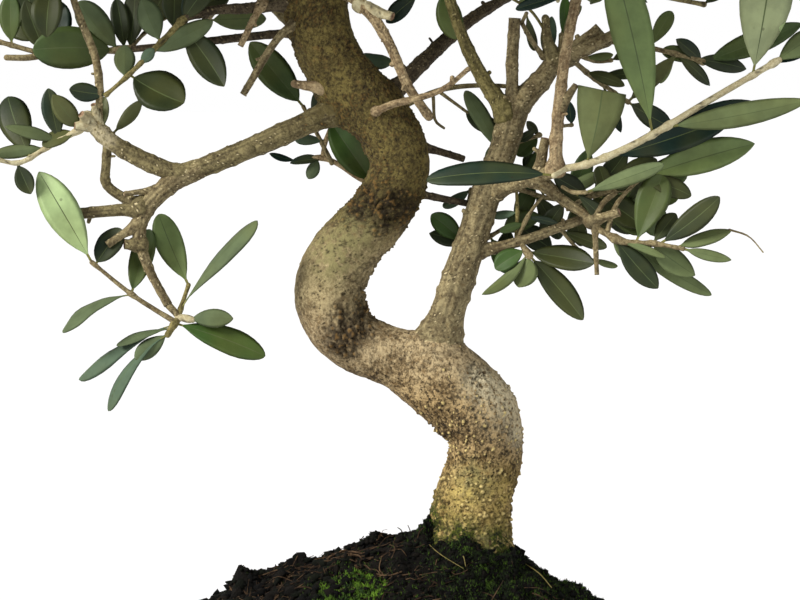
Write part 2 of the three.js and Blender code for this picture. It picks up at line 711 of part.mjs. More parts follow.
/** The leaves of a shoot: pairs that stand crosswise to the pair before, closing up towards the tip. */
function shootLeaves(curve, bare, random) {
  const leaves = [];
  const pairs = Math.max(1, Math.round((curve.getLength() * (1 - bare)) / PAIR_SPACING));
  const firstTurn = random() * Math.PI;
  for (let k = 1; k <= pairs; k += 1) {
    const share = bare + ((1 - bare) * k) / pairs;
    const root = curve.getPointAt(share);
    const way = curve.getTangentAt(share);
    const [first, second] = squareTo(way);
    const turn = firstTurn + (k * Math.PI) / 2 + (random() - 0.5) * PAIR_TURN;
    const side = first.multiplyScalar(Math.cos(turn)).addScaledVector(second, Math.sin(turn));
    for (const hand of [-1, 1]) {
      const spread = radians(mix(...LEAF_SPREAD, share) + (random() - 0.5) * LEAF_SPREAD_RANGE);
      const along = way.clone().multiplyScalar(Math.cos(spread));
      along.addScaledVector(side, hand * Math.sin(spread));
      const facing = root.clone().sub(CROWN_MIDDLE).normalize();
      facing.add(LEAF_LIGHT).addScaledVector(way, LEAF_FORWARD).add(jitter(random, LEAF_JITTER));
      const length = LEAF_LENGTH * mix(...LEAF_LENGTHS, random());
      const width = length * LEAF_WIDTH_SHARE * mix(...LEAF_WIDTHS, random());
      leaves.push(leaf(root, along.normalize(), facing, length, width));
    }
  }
  return leaves;
}

/** Whether a place is in a mass's own space: inside its oval, and on its side of every neighbour's. */
function ownSpace(mass, place) {
  const middle = vector(mass.middle);
  if (place.clone().sub(middle).divide(vector(mass.half)).lengthSq() > 1) return false;
  for (const other of Object.values(MASSES)) {
    if (other === mass) continue;
    const between = vector(other.middle).sub(middle);
    const apart = between.length();
    between.divideScalar(apart);
    const mine = reach(middle, between, middle, vector(mass.half));
    const theirs = reach(vector(other.middle), between, vector(other.middle), vector(other.half));
    const border = (apart * mine) / (mine + theirs) - BORDER_CLEARANCE;
    if (place.clone().sub(middle).dot(between) > border) return false;
  }
  return true;
}

/** Whether a leaf keeps clear of every limb. */
function clearOf(balls, places) {
  const clear = (place) => balls.every(({ at, radius }) => place.distanceTo(at) > radius + LEAF_CLEARANCE);
  return places.every(clear);
}

/** The twigs and leaves of a crown mass. What would leave its space or touch a limb is skipped. */
function grownMass(mass, start, balls) {
  const random = seeded(mass.seed);
  const grown = { twigs: [], leaves: [] };
  for (const shoot of massShoots(mass, start, random)) {
    const isStem = grown.twigs.length === 0;
    const leaves = shootLeaves(shoot.curve, isStem ? STEM_BARE_SHARE : BARE_SHARE, random);
    const places = [0.35, 0.7, 1].map((share) => shoot.curve.getPointAt(share));
    const free = isStem || (places.every((place) => ownSpace(mass, place)) && clearOf(balls, places));
    if (!free) continue;
    grown.twigs.push(shoot);
    for (const blade of leaves) {
      const room = LEAF_ROOM * reach(blade.root, blade.along, vector(mass.middle), vector(mass.half));
      if (room < SHORTEST_LEAF) continue;
      blade.width *= Math.min(1, room / blade.length);
      blade.length = Math.min(blade.length, room);
      const corners = leafPlaces(blade);
      const inside = corners.every((place) => ownSpace(mass, place));
      if (inside && clearOf(balls, corners)) grown.leaves.push(blade);
    }
  }
  return grown;
}

/** One solid of a spray's twigs and leaves, clear of the limbs. */
function spraySolid({ twigs, leaves }, shells) {
  const parts = [];
  for (const { curve, base, tip, bends = 3 } of twigs) {
    const length = curve.getLength();
    const rings = Math.max(2 * bends - 3, Math.round(length / TWIG_RING_SPACING));
    parts.push(tapered(curve, (distance) => mix(base, tip, distance / length) / 2, TWIG_SIDES, rings));
  }
  for (const blade of leaves) parts.push(leafSolid(blade));
  const whole = wasm.Manifold.union(parts);
  return mainBody(shells.reduce((left, shell) => left.subtract(shell), whole)).simplify(SHORTEST_EDGE);
}

const plant = new THREE.Group();
plant.name = 'olive_bonsai';
plant.add(named('pot', potSolid(), STONEWARE));
plant.add(named('soil', soilSolid(), EARTH));

const limbs = { trunk: trunkLimb() };
plant.add(named('trunk', limbs.trunk.whole, BARK));
for (const [name, bough] of Object.entries(BOUGHS)) {
  const grown = limb(bough, BOUGH_SIDES);
  const before = Object.values(limbs).map(({ shell }) => shell);
  grown.whole = mainBody(before.reduce((left, shell) => left.subtract(shell), grown.whole));
  limbs[name] = grown;
  plant.add(named(name, grown.whole, YOUNG_BARK));
}

const shells = Object.values(limbs).map(({ shell }) => shell);
const balls = Object.values(limbs).flatMap((grown) => grown.balls);
for (const [name, spray] of Object.entries(SPRAYS)) {
  plant.add(named(name, spraySolid(placedSpray(spray), shells), FOLIAGE));
}
for (const [name, mass] of Object.entries(MASSES)) {
  plant.add(named(name, spraySolid(grownMass(mass, limbs[mass.from].tip, balls), shells), FOLIAGE));
}

export default plant;
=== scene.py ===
"""The looks of an olive bonsai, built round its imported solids, in millimetres unless a name says otherwise."""

import itertools
import logging
import math
from dataclasses import dataclass, field
from enum import Enum
from typing import Any, Optional, Sequence, Union

import bmesh
import bpy
import numpy as np
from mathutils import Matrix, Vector


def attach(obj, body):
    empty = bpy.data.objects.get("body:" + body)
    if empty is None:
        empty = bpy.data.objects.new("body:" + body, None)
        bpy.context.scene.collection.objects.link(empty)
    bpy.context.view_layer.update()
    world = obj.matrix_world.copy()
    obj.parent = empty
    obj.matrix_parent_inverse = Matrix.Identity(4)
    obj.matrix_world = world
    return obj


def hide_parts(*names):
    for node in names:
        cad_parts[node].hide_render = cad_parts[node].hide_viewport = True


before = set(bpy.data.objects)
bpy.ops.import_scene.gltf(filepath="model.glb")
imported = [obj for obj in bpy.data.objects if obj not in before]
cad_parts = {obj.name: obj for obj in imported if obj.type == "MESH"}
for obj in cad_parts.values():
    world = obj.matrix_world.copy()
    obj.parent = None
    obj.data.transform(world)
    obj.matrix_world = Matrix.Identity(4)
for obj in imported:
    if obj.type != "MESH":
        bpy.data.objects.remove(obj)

LOG = logging.getLogger("olive_bonsai")
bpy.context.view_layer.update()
BODY = "root"
MM = 0.001
WORD = 0xFFFFFFFF
STEEP = 0.95
GOLDEN_ANGLE = math.pi * (3 - math.sqrt(5))

Array = np.ndarray
Dealer = np.random.Generator
Place = tuple[float, float, float]
Line = Sequence[Place]
Pairs = Sequence[tuple[float, float]]
Rgba = tuple[float, float, float, float]


def rgb(code: int, light: float = 1.0) -> Rgba:
    """The linear colour, with full alpha, of an sRGB code such as 0x8c7c58, at a share of its light."""
    parts = ((code >> shift & 255) / 255 for shift in (16, 8, 0))
    return (*((p / 12.92 if p <= 0.04045 else ((p + 0.055) / 1.055) ** 2.4) * light for p in parts), 1.0)


def mix(first: Any, second: Any, share: Any) -> Any:
    """The value at a share of the way from the first to the second."""
    return first + (second - first) * share


def smooth(share: Any) -> Any:
    """A share from 0 to 1, eased at both ends."""
    share = np.clip(share, 0.0, 1.0)
    return share * share * (3 - 2 * share)


def unit(way: Array) -> Array:
    """A direction, or several, at length 1."""
    return way / np.maximum(np.linalg.norm(way, axis=-1, keepdims=True), 1e-9)


def square_to(way: Array) -> tuple[Array, Array]:
    """Two directions square to a way and to each other."""
    first = unit(np.cross(way, (1.0, 0.0, 0.0) if abs(way[2]) > STEEP else (0.0, 0.0, 1.0)))
    return first, np.cross(first, way)


def beside(way: Array, turn: float) -> Array:
    """The direction square to a way at an angle about it."""
    first, second = square_to(way)
    return first * math.cos(turn) + second * math.sin(turn)


class Dice:
    """Even numbers from 0 to 1 by the mulberry32 rule, always the same for a seed."""

    STEP = 0x6D2B79F5

    def __init__(self, seed: int) -> None:
        """Starts the row of numbers of a seed."""
        self.state = seed & WORD

    def __call__(self) -> float:
        """Rolls once.

        Returns:
            The next number.
        """
        self.state = t = (self.state + self.STEP) & WORD
        t = ((t ^ (t >> 15)) * (t | 1)) & WORD
        t ^= (t + (((t ^ (t >> 7)) * (t | 61)) & WORD)) & WORD
        return ((t ^ (t >> 14)) & WORD) / (WORD + 1)

    def jitter(self, size: float) -> Array:
        """Three numbers either side of nought."""
        return np.array([self() - 0.5 for _ in range(3)]) * 2 * size


class Lumps:
    """Smooth numbers from -1 to 1 over space, always the same for a seed."""

    CELLS = 4096
    PRIMES = (73856093, 19349663, 83492791)

    def __init__(self, seed: int) -> None:
        """Deals out the numbers of a seed."""
        self.table = np.random.default_rng(seed).uniform(-1, 1, self.CELLS)

    def __call__(self, places: Array, size: float) -> Array:
        """The numbers at some places.

        Args:
            places: An array of places, three numbers each.
            size: How far apart the lumps are.

        Returns:
            An array of one number for each place.
        """
        scaled = places / size
        cell = np.floor(scaled).astype(np.int64)
        part = smooth(scaled - cell)
        total = np.zeros(places.shape[:-1])
        for corner in itertools.product((0, 1), repeat=3):
            keys = (cell + corner) * self.PRIMES
            key = (keys[..., 0] ^ keys[..., 1] ^ keys[..., 2]) % self.CELLS
            weight = np.prod(np.where(corner, part, 1 - part), axis=-1)
            total += self.table[key] * weight
        return total


class Course:
    """A smooth centre line, read by the share of its length."""

    STEPS = 24
    REACH = 0.01

    def __init__(self, places: Array) -> None:
        """Measures a row of close places.

        Args:
            places: The places, in order.
        """
        steps = np.linalg.norm(np.diff(places, axis=0), axis=1)
        self.places = places
        self.far = np.concatenate(([0.0], np.cumsum(steps)))
        self.length = float(self.far[-1])

    @classmethod
    def through(cls, line: Line) -> "Course":
        """The centripetal curve through some places.

        Args:
            line: The places, in order.

        Returns:
            The course through them.
        """
        points = np.array(line, float)
        points = np.vstack((2 * points[0] - points[1], points, 2 * points[-1] - points[-2]))
        gaps = np.sqrt(np.linalg.norm(np.diff(points, axis=0), axis=1))
        t = np.linspace(0, 1, cls.STEPS, endpoint=False)[:, None]
        rows = []
        for i in range(len(line) - 1):
            p0, p1, p2, p3 = points[i : i + 4]
            g0, g1, g2 = gaps[i : i + 3]
            start = ((p1 - p0) / g0 - (p2 - p0) / (g0 + g1) + (p2 - p1) / g1) * g1
            end = ((p2 - p1) / g1 - (p3 - p1) / (g1 + g2) + (p3 - p2) / g2) * g1
            square = -3 * p1 + 3 * p2 - 2 * start - end
            cube = 2 * p1 - 2 * p2 + start + end
            rows.append(p1 + start * t + square * t**2 + cube * t**3)
        return cls(np.vstack((*rows, points[-2])))

    @classmethod
    def bowed(cls, start: Array, bend: Array, end: Array) -> "Course":
        """The curve from a start to an end that leans towards a bend."""
        t = np.linspace(0, 1, 2 * cls.STEPS)[:, None]
        return cls((1 - t) ** 2 * start + 2 * t * (1 - t) * bend + t**2 * end)

    def at(self, share: Any) -> Array:
        """The place, or places, at a share of the length."""
        far = np.asarray(share) * self.length
        return np.stack([np.interp(far, self.far, self.places[:, k]) for k in range(3)], axis=-1)

    def way(self, share: Any) -> Array:
        """The direction, or directions, at a share of the length."""
        ahead, behind = np.clip((np.add(share, self.REACH), np.subtract(share, self.REACH)), 0, 1)
        return unit(self.at(ahead) - self.at(behind))


def width_at(widths: Pairs, far: Array) -> Array:
    """The diameters along a limb, eased between those that are given.

    Args:
        widths: Pairs of distance and diameter.
        far: The distances that are asked for.

    Returns:
        The diameter at each of them.
    """
    starts, sizes = np.array(widths, float).T
    next_pair = np.clip(np.searchsorted(starts, far, side="right"), 1, len(starts) - 1)
    share = (far - starts[next_pair - 1]) / (starts[next_pair] - starts[next_pair - 1])
    return mix(sizes[next_pair - 1], sizes[next_pair], smooth(share))


class Value:
    """A shader socket that grows Math nodes when it is reckoned with."""

    def __init__(self, book: "NodeBook", socket: bpy.types.NodeSocket) -> None:
        """Wraps an output socket of a book's tree."""
        self.book = book
        self.socket = socket

    def _math(self, operation: str, first: "Term", second: "Term") -> "Value":
        """A Math node of two terms."""
        return self.book.node("ShaderNodeMath", {"operation": operation}, {0: first, 1: second})

    def __add__(self, other: "Term") -> "Value":
        """This and another."""
        return self._math("ADD", self, other)

    __radd__ = __add__

    def __sub__(self, other: "Term") -> "Value":
        """This less another."""
        return self._math("SUBTRACT", self, other)

    def __rsub__(self, other: "Term") -> "Value":
        """Another less this."""
        return self._math("SUBTRACT", other, self)

    def __mul__(self, other: "Term") -> "Value":
        """This times another."""
        return self._math("MULTIPLY", self, other)

    __rmul__ = __mul__

    def band(self, low: float, high: float) -> "Value":
        """0 at the low number, 1 at the high one, and eased between them."""
        settings = {"interpolation_type": "SMOOTHSTEP"}
        return self.book.node("ShaderNodeMapRange", settings, {0: self, 1: low, 2: high, 3: 0.0, 4: 1.0})


Term = Union[Value, float]
Colour = Union[Value, Rgba]


class NodeBook:
    """The nodes of one material."""

    def __init__(self, tree: bpy.types.NodeTree) -> None:
        """Opens a node tree."""
        self.tree = tree

    def node(self, kind: str, settings: dict[str, Any], inputs: dict[Any, Any], output: Any = 0) -> Value:
        """Adds a node.

        Args:
            kind: The node's type.
            settings: Its own settings, which are set first.
            inputs: The value or link of each socket, by name or number.
            output: The output that is wanted, by name or number.

        Returns:
            That output.
        """
        node = self.tree.nodes.new(kind)
        for name, setting in settings.items():
            setattr(node, name, setting)
        self.fill(node, inputs)
        return Value(self, node.outputs[output])

    def fill(self, node: bpy.types.Node, inputs: dict[Any, Any]) -> None:
        """Sets or links a node's sockets.

        Args:
            node: The node.
            inputs: The value or link of each socket, by name or number.
        """
        for name, value in inputs.items():
            if isinstance(value, Value):
                self.tree.links.new(value.socket, node.inputs[name])
            else:
                node.inputs[name].default_value = value

    def place(self) -> Value:
        """The place on the piece, in metres."""
        return self.node("ShaderNodeTexCoord", {}, {}, "Object")

    def height(self) -> Value:
        """The height on the piece, in metres."""
        return self.node("ShaderNodeSeparateXYZ", {}, {0: self.place()}, "Z")

    def mark(self, name: "Mark") -> Value:
        """A mark that the mesh carries."""
        return self.node("ShaderNodeAttribute", {"attribute_name": name.value}, {}, "Fac")

    def noise(self, size: float, detail: float = 4.0, rough: float = 0.6) -> Value:
        """Even noise whose largest lumps have a size in millimetres."""
        inputs = {"Vector": self.place(), "Scale": 1 / (size * MM), "Detail": detail, "Roughness": rough}
        return self.node("ShaderNodeTexNoise", {}, inputs, "Fac")

    def cells(self, size: float) -> Value:
        """The distance from the middles of cells of a size in millimetres, 0 to about 1."""
        inputs = {"Vector": self.place(), "Scale": 1 / (size * MM)}
        return self.node("ShaderNodeTexVoronoi", {}, inputs, "Distance")

    def blend(self, share: Term, first: Colour, second: Colour) -> Value:
        """A colour part of the way from the first to the second."""
        return self.node("ShaderNodeMix", {"data_type": "RGBA"}, {0: share, 6: first, 7: second}, 2)

    def bump(self, height: Value, strength: float, size: float) -> Value:
        """A normal that rises with a height."""
        return self.node("ShaderNodeBump", {}, {"Height": height, "Strength": strength, "Distance": size * MM})


class Mark(Enum):
    """What a bark mesh tells its finish at each place."""

    DOT = "dot"
    # Dark pits, warts, cracks, furrows, creases and peel edges, and also the painted shadow rings round beads.
    PIT = "pit"
    SCAR = "scar"
    PALE = "pale"
    MOSS = "moss"
    ALGAE = "algae"
    # Painted light: a straw tone that lightens the front and the right side of the trunk's foot.
    STRAW = "straw"
    GRIME = "grime"


@dataclass(frozen=True)
class Finish:
    """A finish by name, with its gloss."""

    name: str
    specular: float = 0.3

    def wire(self, book: NodeBook) -> dict[str, Any]:
        """The shader's sockets, as each finish fills them.

        Args:
            book: The material's nodes.

        Returns:
            The value or the link of each socket, by its name.
        """
        raise NotImplementedError

    def material(self) -> bpy.types.Material:
        """The finish as a material, made once.

        Returns:
            The material.
        """
        found = bpy.data.materials.get(self.name)
        if found:
            return found
        made = bpy.data.materials.new(self.name)
        made.use_nodes = True
        book = NodeBook(made.node_tree)
        sockets = {"Specular IOR Level": self.specular, **self.wire(book)}
        book.fill(made.node_tree.nodes["Principled BSDF"], sockets)
        return made


@dataclass(frozen=True)
class Zone:
    """A bark above a height: its tones, its shares of flecks, pits and wrinkles, and the colour of its dots."""

    low: float
    high: float
    dark: int
    light: int
    marks: tuple[float, float, float]
    dot: int = 0xD4BE7E


@dataclass(frozen=True)
class Bark(Finish):
    """Bark: mottled, with dark flecks, pits and wrinkles, and other marks where the mesh says, among them painted
    shadow rings round beads and painted light on the trunk's foot.
    """

    dark: int = 0x3E3521
    light: int = 0x6E6242
    dot: int = 0x9A8756
    marks: tuple[float, float, float] = (0.4, 0.6, 0.25)
    zones: tuple[Zone, ...] = ()
    # The dark of flecks, pits, wrinkles and cracks, which also paints the shadow rings round beads.
    pit: int = 0x1E160C
    rust: int = 0x7A5A2E

    # Stains and scars, and the straw tone of the painted light on the trunk's foot, each with the size of its
    # blotches.
    STAINS = (
        (Mark.ALGAE, 4.0, 0x7E784F), (Mark.STRAW, 3.0, 0xC2AC62), (Mark.GRIME, 5.0, 0x4E4420),
        (Mark.SCAR, 2.2, 0x1A1209),
    )
    PEELED, RUSTY_DOT = 0xCEC2A0, 0x775A2E
    MOSS = (0x12160A, 0x454B12)

    def wire(self, book: NodeBook) -> dict[str, Any]:
        """Colour from mottling, height and marks, among them painted shadow and painted light, and a bump from grain,
        flecks, pits and wrinkles.

        Args:
            book: The material's nodes.

        Returns:
            The shader's sockets.
        """
        mottle, grain = book.noise(8, 6, 0.66), book.noise(1.1, 4, 0.7)
        tone = (mottle * 0.4 + book.noise(2.2, 4, 0.7) * 0.35 + grain * 0.25).band(0.41, 0.59)
        colour = book.blend(tone, rgb(self.dark), rgb(self.light))
        dot: Colour = rgb(self.dot)
        shares: Sequence[Term] = self.marks
        for zone in self.zones:
            above = (book.height() + (mottle - 0.5) * 0.03).band(zone.low * MM, zone.high * MM)
            colour = book.blend(above, colour, book.blend(tone, rgb(zone.dark), rgb(zone.light)))
            shares = [mix(old, new, above) for old, new in zip(shares, zone.marks)]
            dot = book.blend(above, dot, rgb(zone.dot))
        cells, lines = book.cells(2.7), book.noise(3.4, 2, 0.5) - 0.5
        flecks = book.noise(1.5, 3, 0.6).band(0.54, 0.62) * shares[0]
        pits = (1 - cells.band(0.12, 0.2)) * book.noise(11, 3).band(0.42, 0.56) * shares[1]
        wrinkles = (1 - (lines * lines).band(0.0002, 0.0016)) * shares[2]
        colour = book.blend(book.noise(3.1, 3).band(0.54, 0.7) * 0.3, colour, rgb(self.rust))
        # Stains and scars, and the painted light on the foot.
        for mark, size, code in self.STAINS:
            colour = book.blend(book.mark(mark) * book.noise(size, 4).band(0.34, 0.56) * 0.85, colour, rgb(code))
        # Darkens wrinkles, flecks, pits and marked places, the painted shadow rings round beads among them.
        for share in (wrinkles, flecks, pits, book.mark(Mark.PIT) * 0.85):
            colour = book.blend(share, colour, rgb(self.pit))
        peeled = book.mark(Mark.PALE) * book.noise(1.4, 4).band(0.34, 0.56)
        colour = book.blend(peeled * (0.75 - 0.5 * pits), colour, rgb(self.PEELED))
        stained = (book.mark(Mark.SCAR) + book.mark(Mark.GRIME)).band(0.02, 0.25)
        dot = book.blend(stained, dot, rgb(self.RUSTY_DOT))
        colour = book.blend(book.mark(Mark.DOT).band(0.1, 0.8), colour, dot)
        moss = book.mark(Mark.MOSS) * book.noise(2.5, 4).band(0.36, 0.5)
        colour = book.blend(moss, colour, book.blend(grain.band(0.4, 0.6), *map(rgb, self.MOSS)))
        relief = grain * 0.5 + mottle * 0.4 - flecks * 0.45 - pits * 0.6 - wrinkles * 0.5
        return {"Base Color": colour, "Roughness": 0.74 + 0.2 * mottle, "Normal": book.bump(relief, 1.0, 0.9)}


@dataclass(frozen=True)
class CutWood(Finish):
    """The pale wood of a pruning cut, browned in blotches."""

    light: int = 0x947A60
    dark: int = 0x4E392A

    def wire(self, book: NodeBook) -> dict[str, Any]:
        """Colour from blotches, with a fibrous bump.

        Args:
            book: The material's nodes.

        Returns:
            The shader's sockets.
        """
        blotch = book.noise(1.6, 4)
        colour = book.blend(blotch.band(0.35, 0.65), rgb(self.dark), rgb(self.light))
        return {"Base Color": colour, "Roughness": 0.85, "Normal": book.bump(book.noise(0.5), 0.5, 0.3)}


@dataclass(frozen=True)
class LeafSkin(Finish):
    """One side of a leaf: a plain green with a faint bloom, dust and a few brown spots."""

    colour: int = 0x3A5A34
    sheen: float = 0.42
    spots: float = 0.5

    SHADE, CAST, SPOT = 0.74, 0x6A6A30, 0x2C2418

    def wire(self, book: NodeBook) -> dict[str, Any]:
        """Colour from bloom and spots, with a leathery bump.

        Args:
            book: The material's nodes.

        Returns:
            The shader's sockets.
        """
        bloom = book.noise(9, 3)
        cast = book.noise(34, 2).band(0.4, 0.66)
        spots = (1 - book.cells(6.5).band(0.07, 0.13)) * self.spots * book.noise(24).band(0.5, 0.6)
        colour = book.blend(bloom.band(0.3, 0.7), rgb(self.colour, self.SHADE), rgb(self.colour))
        colour = book.blend(cast * 0.22, colour, rgb(self.CAST))
        colour = book.blend(spots, colour, rgb(self.SPOT))
        leather = book.bump(book.noise(1.6, 3), 0.25, 0.25)
        return {"Base Color": colour, "Roughness": self.sheen + 0.15 * bloom, "Normal": leather}


@dataclass(frozen=True)
class Earth(Finish):
    """Dark crumbling soil or fibre."""

    dark: int = 0x050504
    light: int = 0x17120D

    def wire(self, book: NodeBook) -> dict[str, Any]:
        """Colour from clods, with a deep bump.

        Args:
            book: The material's nodes.

        Returns:
            The shader's sockets.
        """
        clods = book.noise(4, 6, 0.7)
        colour = book.blend(clods.band(0.35, 0.72), rgb(self.dark), rgb(self.light))
        relief = clods + book.noise(1.0, 4) * 0.6
        return {"Base Color": colour, "Roughness": 0.95, "Normal": book.bump(relief, 0.9, 1.6)}


@dataclass(frozen=True)
class MossGreen(Finish):
    """Moss, lighter at some places than at others."""

    dark: int = 0x1C2A0C
    light: int = 0x5C7A22

    def wire(self, book: NodeBook) -> dict[str, Any]:
        """Colour from tufts.

        Args:
            book: The material's nodes.

        Returns:
            The shader's sockets.
        """
        tufts = book.noise(5, 3)
        colour = book.blend(tufts.band(0.35, 0.68), rgb(self.dark), rgb(self.light))
        return {"Base Color": colour, "Roughness": 0.8}


@dataclass(frozen=True)
class Stoneware(Finish):
    """Unglazed stoneware: a warm brown body with fine dark specks, turning rings and rubbed lighter patches."""

    dark: int = 0x3C2D24
    light: int = 0x5E4838
    speck: int = 0x1E1611
    rubbed: int = 0x8A7260

    def wire(self, book: NodeBook) -> dict[str, Any]:
        """Colour from firing clouds and specks, with a gritty bump and faint rings.

        Args:
            book: The material's nodes.

        Returns:
            The shader's sockets.
        """
        cloud = book.noise(38, 4)
        grit = book.noise(0.9, 3)
        specks = 1 - book.cells(2.6).band(0.1, 0.2)
        colour = book.blend(cloud.band(0.3, 0.7), rgb(self.dark), rgb(self.light))
        colour = book.blend(specks * 0.7, colour, rgb(self.speck))
        colour = book.blend(grit.band(0.62, 0.8) * 0.3, colour, rgb(self.rubbed))
        rings = book.node("ShaderNodeMath", {"operation": "SINE"}, {0: book.height() * 2600})
        relief = grit * 0.5 + rings * 0.12 - specks * 0.2
        return {"Base Color": colour, "Roughness": 0.62 + 0.2 * cloud, "Normal": book.bump(relief, 0.4, 0.3)}


@dataclass(frozen=True)
class Paper(Finish):
    """The plain pale floor."""

    colour: int = 0xF6F7FA

    def wire(self, book: NodeBook) -> dict[str, Any]:
        """A near-white, very slightly uneven."""
        uneven = book.blend(book.noise(300), rgb(self.colour, 0.985), rgb(self.colour))
        return {"Base Color": uneven, "Roughness": 0.9}


class BarkKind(Enum):
    """The barks of the tree, in the order of a bark piece's material slots."""

    OLD = Bark(
        "old_bark", 0.2, 0x5A4622, 0xC0A668, 0xD4BE7E, (0.6, 0.8, 0.16),
        (
            Zone(108, 136, 0x48381F, 0xAB9266, (0.85, 0.75, 0.25)),
            Zone(150, 172, 0x6E5D41, 0xB3A07B, (0.45, 0.6, 0.1)),
            Zone(178, 196, 0x756749, 0xAE9E76, (0.15, 0.6, 0.06)),
            Zone(206, 234, 0x453B1E, 0x6E6236, (0.5, 0.5, 0.15), 0x664A22),
        ),
    )
    OLIVE = Bark("olive_bark", 0.25, 0x5A5035, 0x8B8059, 0xCBBD94, (0.12, 0.45, 0.1), rust=0x6E6240)
    TAN = Bark("tan_bark", 0.25, 0x63563B, 0x998C67, 0xC9B98F, (0.15, 0.55, 0.12), rust=0x7E6A42)
    GREEN = Bark("green_bark", 0.25, 0x57502B, 0x867C4E, 0xA79B6B, (0.12, 0.5, 0.08), rust=0x6E6238)
    PALE = Bark("pale_bark", 0.3, 0xA89C78, 0xC4BC98, 0xC9C09C, (0.05, 0.25, 0.03), rust=0xA8946A)
    ROSY = Bark("rosy_bark", 0.3, 0x756145, 0xB19D77, 0xC6B28C, (0.15, 0.55, 0.14), rust=0x876A48)
    DARK = Bark("dark_bark", 0.2, 0x40372A, 0x665B46, 0x887B5E, (0.3, 0.5, 0.15), rust=0x52432A)

    @property
    def slot(self) -> int:
        """Its place among the material slots."""
        return list(BarkKind).index(self)


CUT_WOOD = CutWood("cut_wood", 0.2)
BARK_FINISHES = [kind.value for kind in BarkKind] + [CUT_WOOD]
CUT_SLOT = len(BarkKind)


class Tint(Enum):
    """The greens of leaves: the upper side and the under side, as sRGB codes."""

    TEAL = ("t", 0x0E271F, 0x4E604C)
    DARK = ("d", 0x253018, 0x576446)
    GREEN = ("g", 0x3F5129, 0x66734C)
    VIVID = ("v", 0x385220, 0x66734C)
    OLIVE = ("o", 0x4D5230, 0x687048)
    BRIGHT = ("b", 0x687B48, 0x707E57)
    SUNLIT = ("s", 0x98AE78, 0x949E76)

    @property
    def slots(self) -> tuple[int, int]:
        """The places of its two sides among the material slots."""
        first = 2 * list(Tint).index(self)
        return first, first + 1

    @classmethod
    def of(cls, letter: str) -> "Tint":
        """The tint that a letter stands for. A capital shows the same leaf's under side."""
        return next(tint for tint in cls if tint.value[0] == letter.lower())


LEAF_FINISHES = [
    LeafSkin(f"leaf_{tint.name.lower()}_{side}", 0.27 if side == "upper" else 0.15, code, sheen)
    for tint in Tint
    for side, code, sheen in (("upper", tint.value[1], 0.44), ("under", tint.value[2], 0.62))
] + [LeafSkin("leaf_rib", 0.3, 0x4C5A36, 0.5, 0.0), LeafSkin("leaf_stalk", 0.3, 0x717038, 0.5, 0.0)]
RIB_SLOT, STALK_SLOT = len(LEAF_FINISHES) - 2, len(LEAF_FINISHES) - 1


def show(mesh: bpy.types.Mesh, finishes: Sequence[Finish], nodes: Sequence[str]) -> None:
    """Puts a finished mesh in the scene as a piece.

    Args:
        mesh: The mesh, whose name the piece takes.
        finishes: Its finishes, in the order of its material slots.
        nodes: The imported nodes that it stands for.
    """
    for finish in finishes:
        mesh.materials.append(finish.material())
    piece = bpy.data.objects.new(mesh.name, mesh)
    bpy.context.scene.collection.objects.link(piece)
    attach(piece, BODY)
    if nodes:
        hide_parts(*nodes)
    LOG.info("%s: %d faces", piece.name, len(mesh.polygons))


def meshed(shape: bmesh.types.BMesh, name: str) -> bpy.types.Mesh:
    """A mesh of a shape, which is used up.

    Args:
        shape: The shape.
        name: The mesh's name.

    Returns:
        The mesh.
    """
    mesh = bpy.data.meshes.new(name)
    shape.to_mesh(mesh)
    shape.free()
    return mesh


def joined(name: str, places: Array, faces: Array, slots: Array) -> bpy.types.Mesh:
    """One mesh of many small things with the same faces.

    Args:
        name: The mesh's name.
        places: The corners of each thing, in millimetres.
        faces: The numbers of the corners round each face of one thing, as many in every face.
        slots: The material slot of every face.

    Returns:
        The mesh, smooth and in metres.
    """
    things, corners = places.shape[:2]
    count, sides = things * len(faces), faces.shape[1]
    faces = faces + (np.arange(things) * corners)[:, None, None]
    mesh = bpy.data.meshes.new(name)
    mesh.vertices.add(things * corners)
    mesh.vertices.foreach_set("co", (places * MM).astype(np.float32).ravel())
    mesh.loops.add(count * sides)
    mesh.loops.foreach_set("vertex_index", faces.astype(np.int32).ravel())
    mesh.polygons.add(count)
    mesh.polygons.foreach_set("loop_start", np.arange(0, count * sides, sides, dtype=np.int32))
    mesh.polygons.foreach_set("material_index", slots.astype(np.int32))
    mesh.polygons.foreach_set("use_smooth", np.ones(count, bool))
    mesh.update(calc_edges=True)
    return mesh


class Ends(Enum):
    """Which ends of a tube are rounded off: its base, then its tip."""

    ROUND = (True, True)
    CUT_TIP = (True, False)
    CUT_BASE = (False, True)


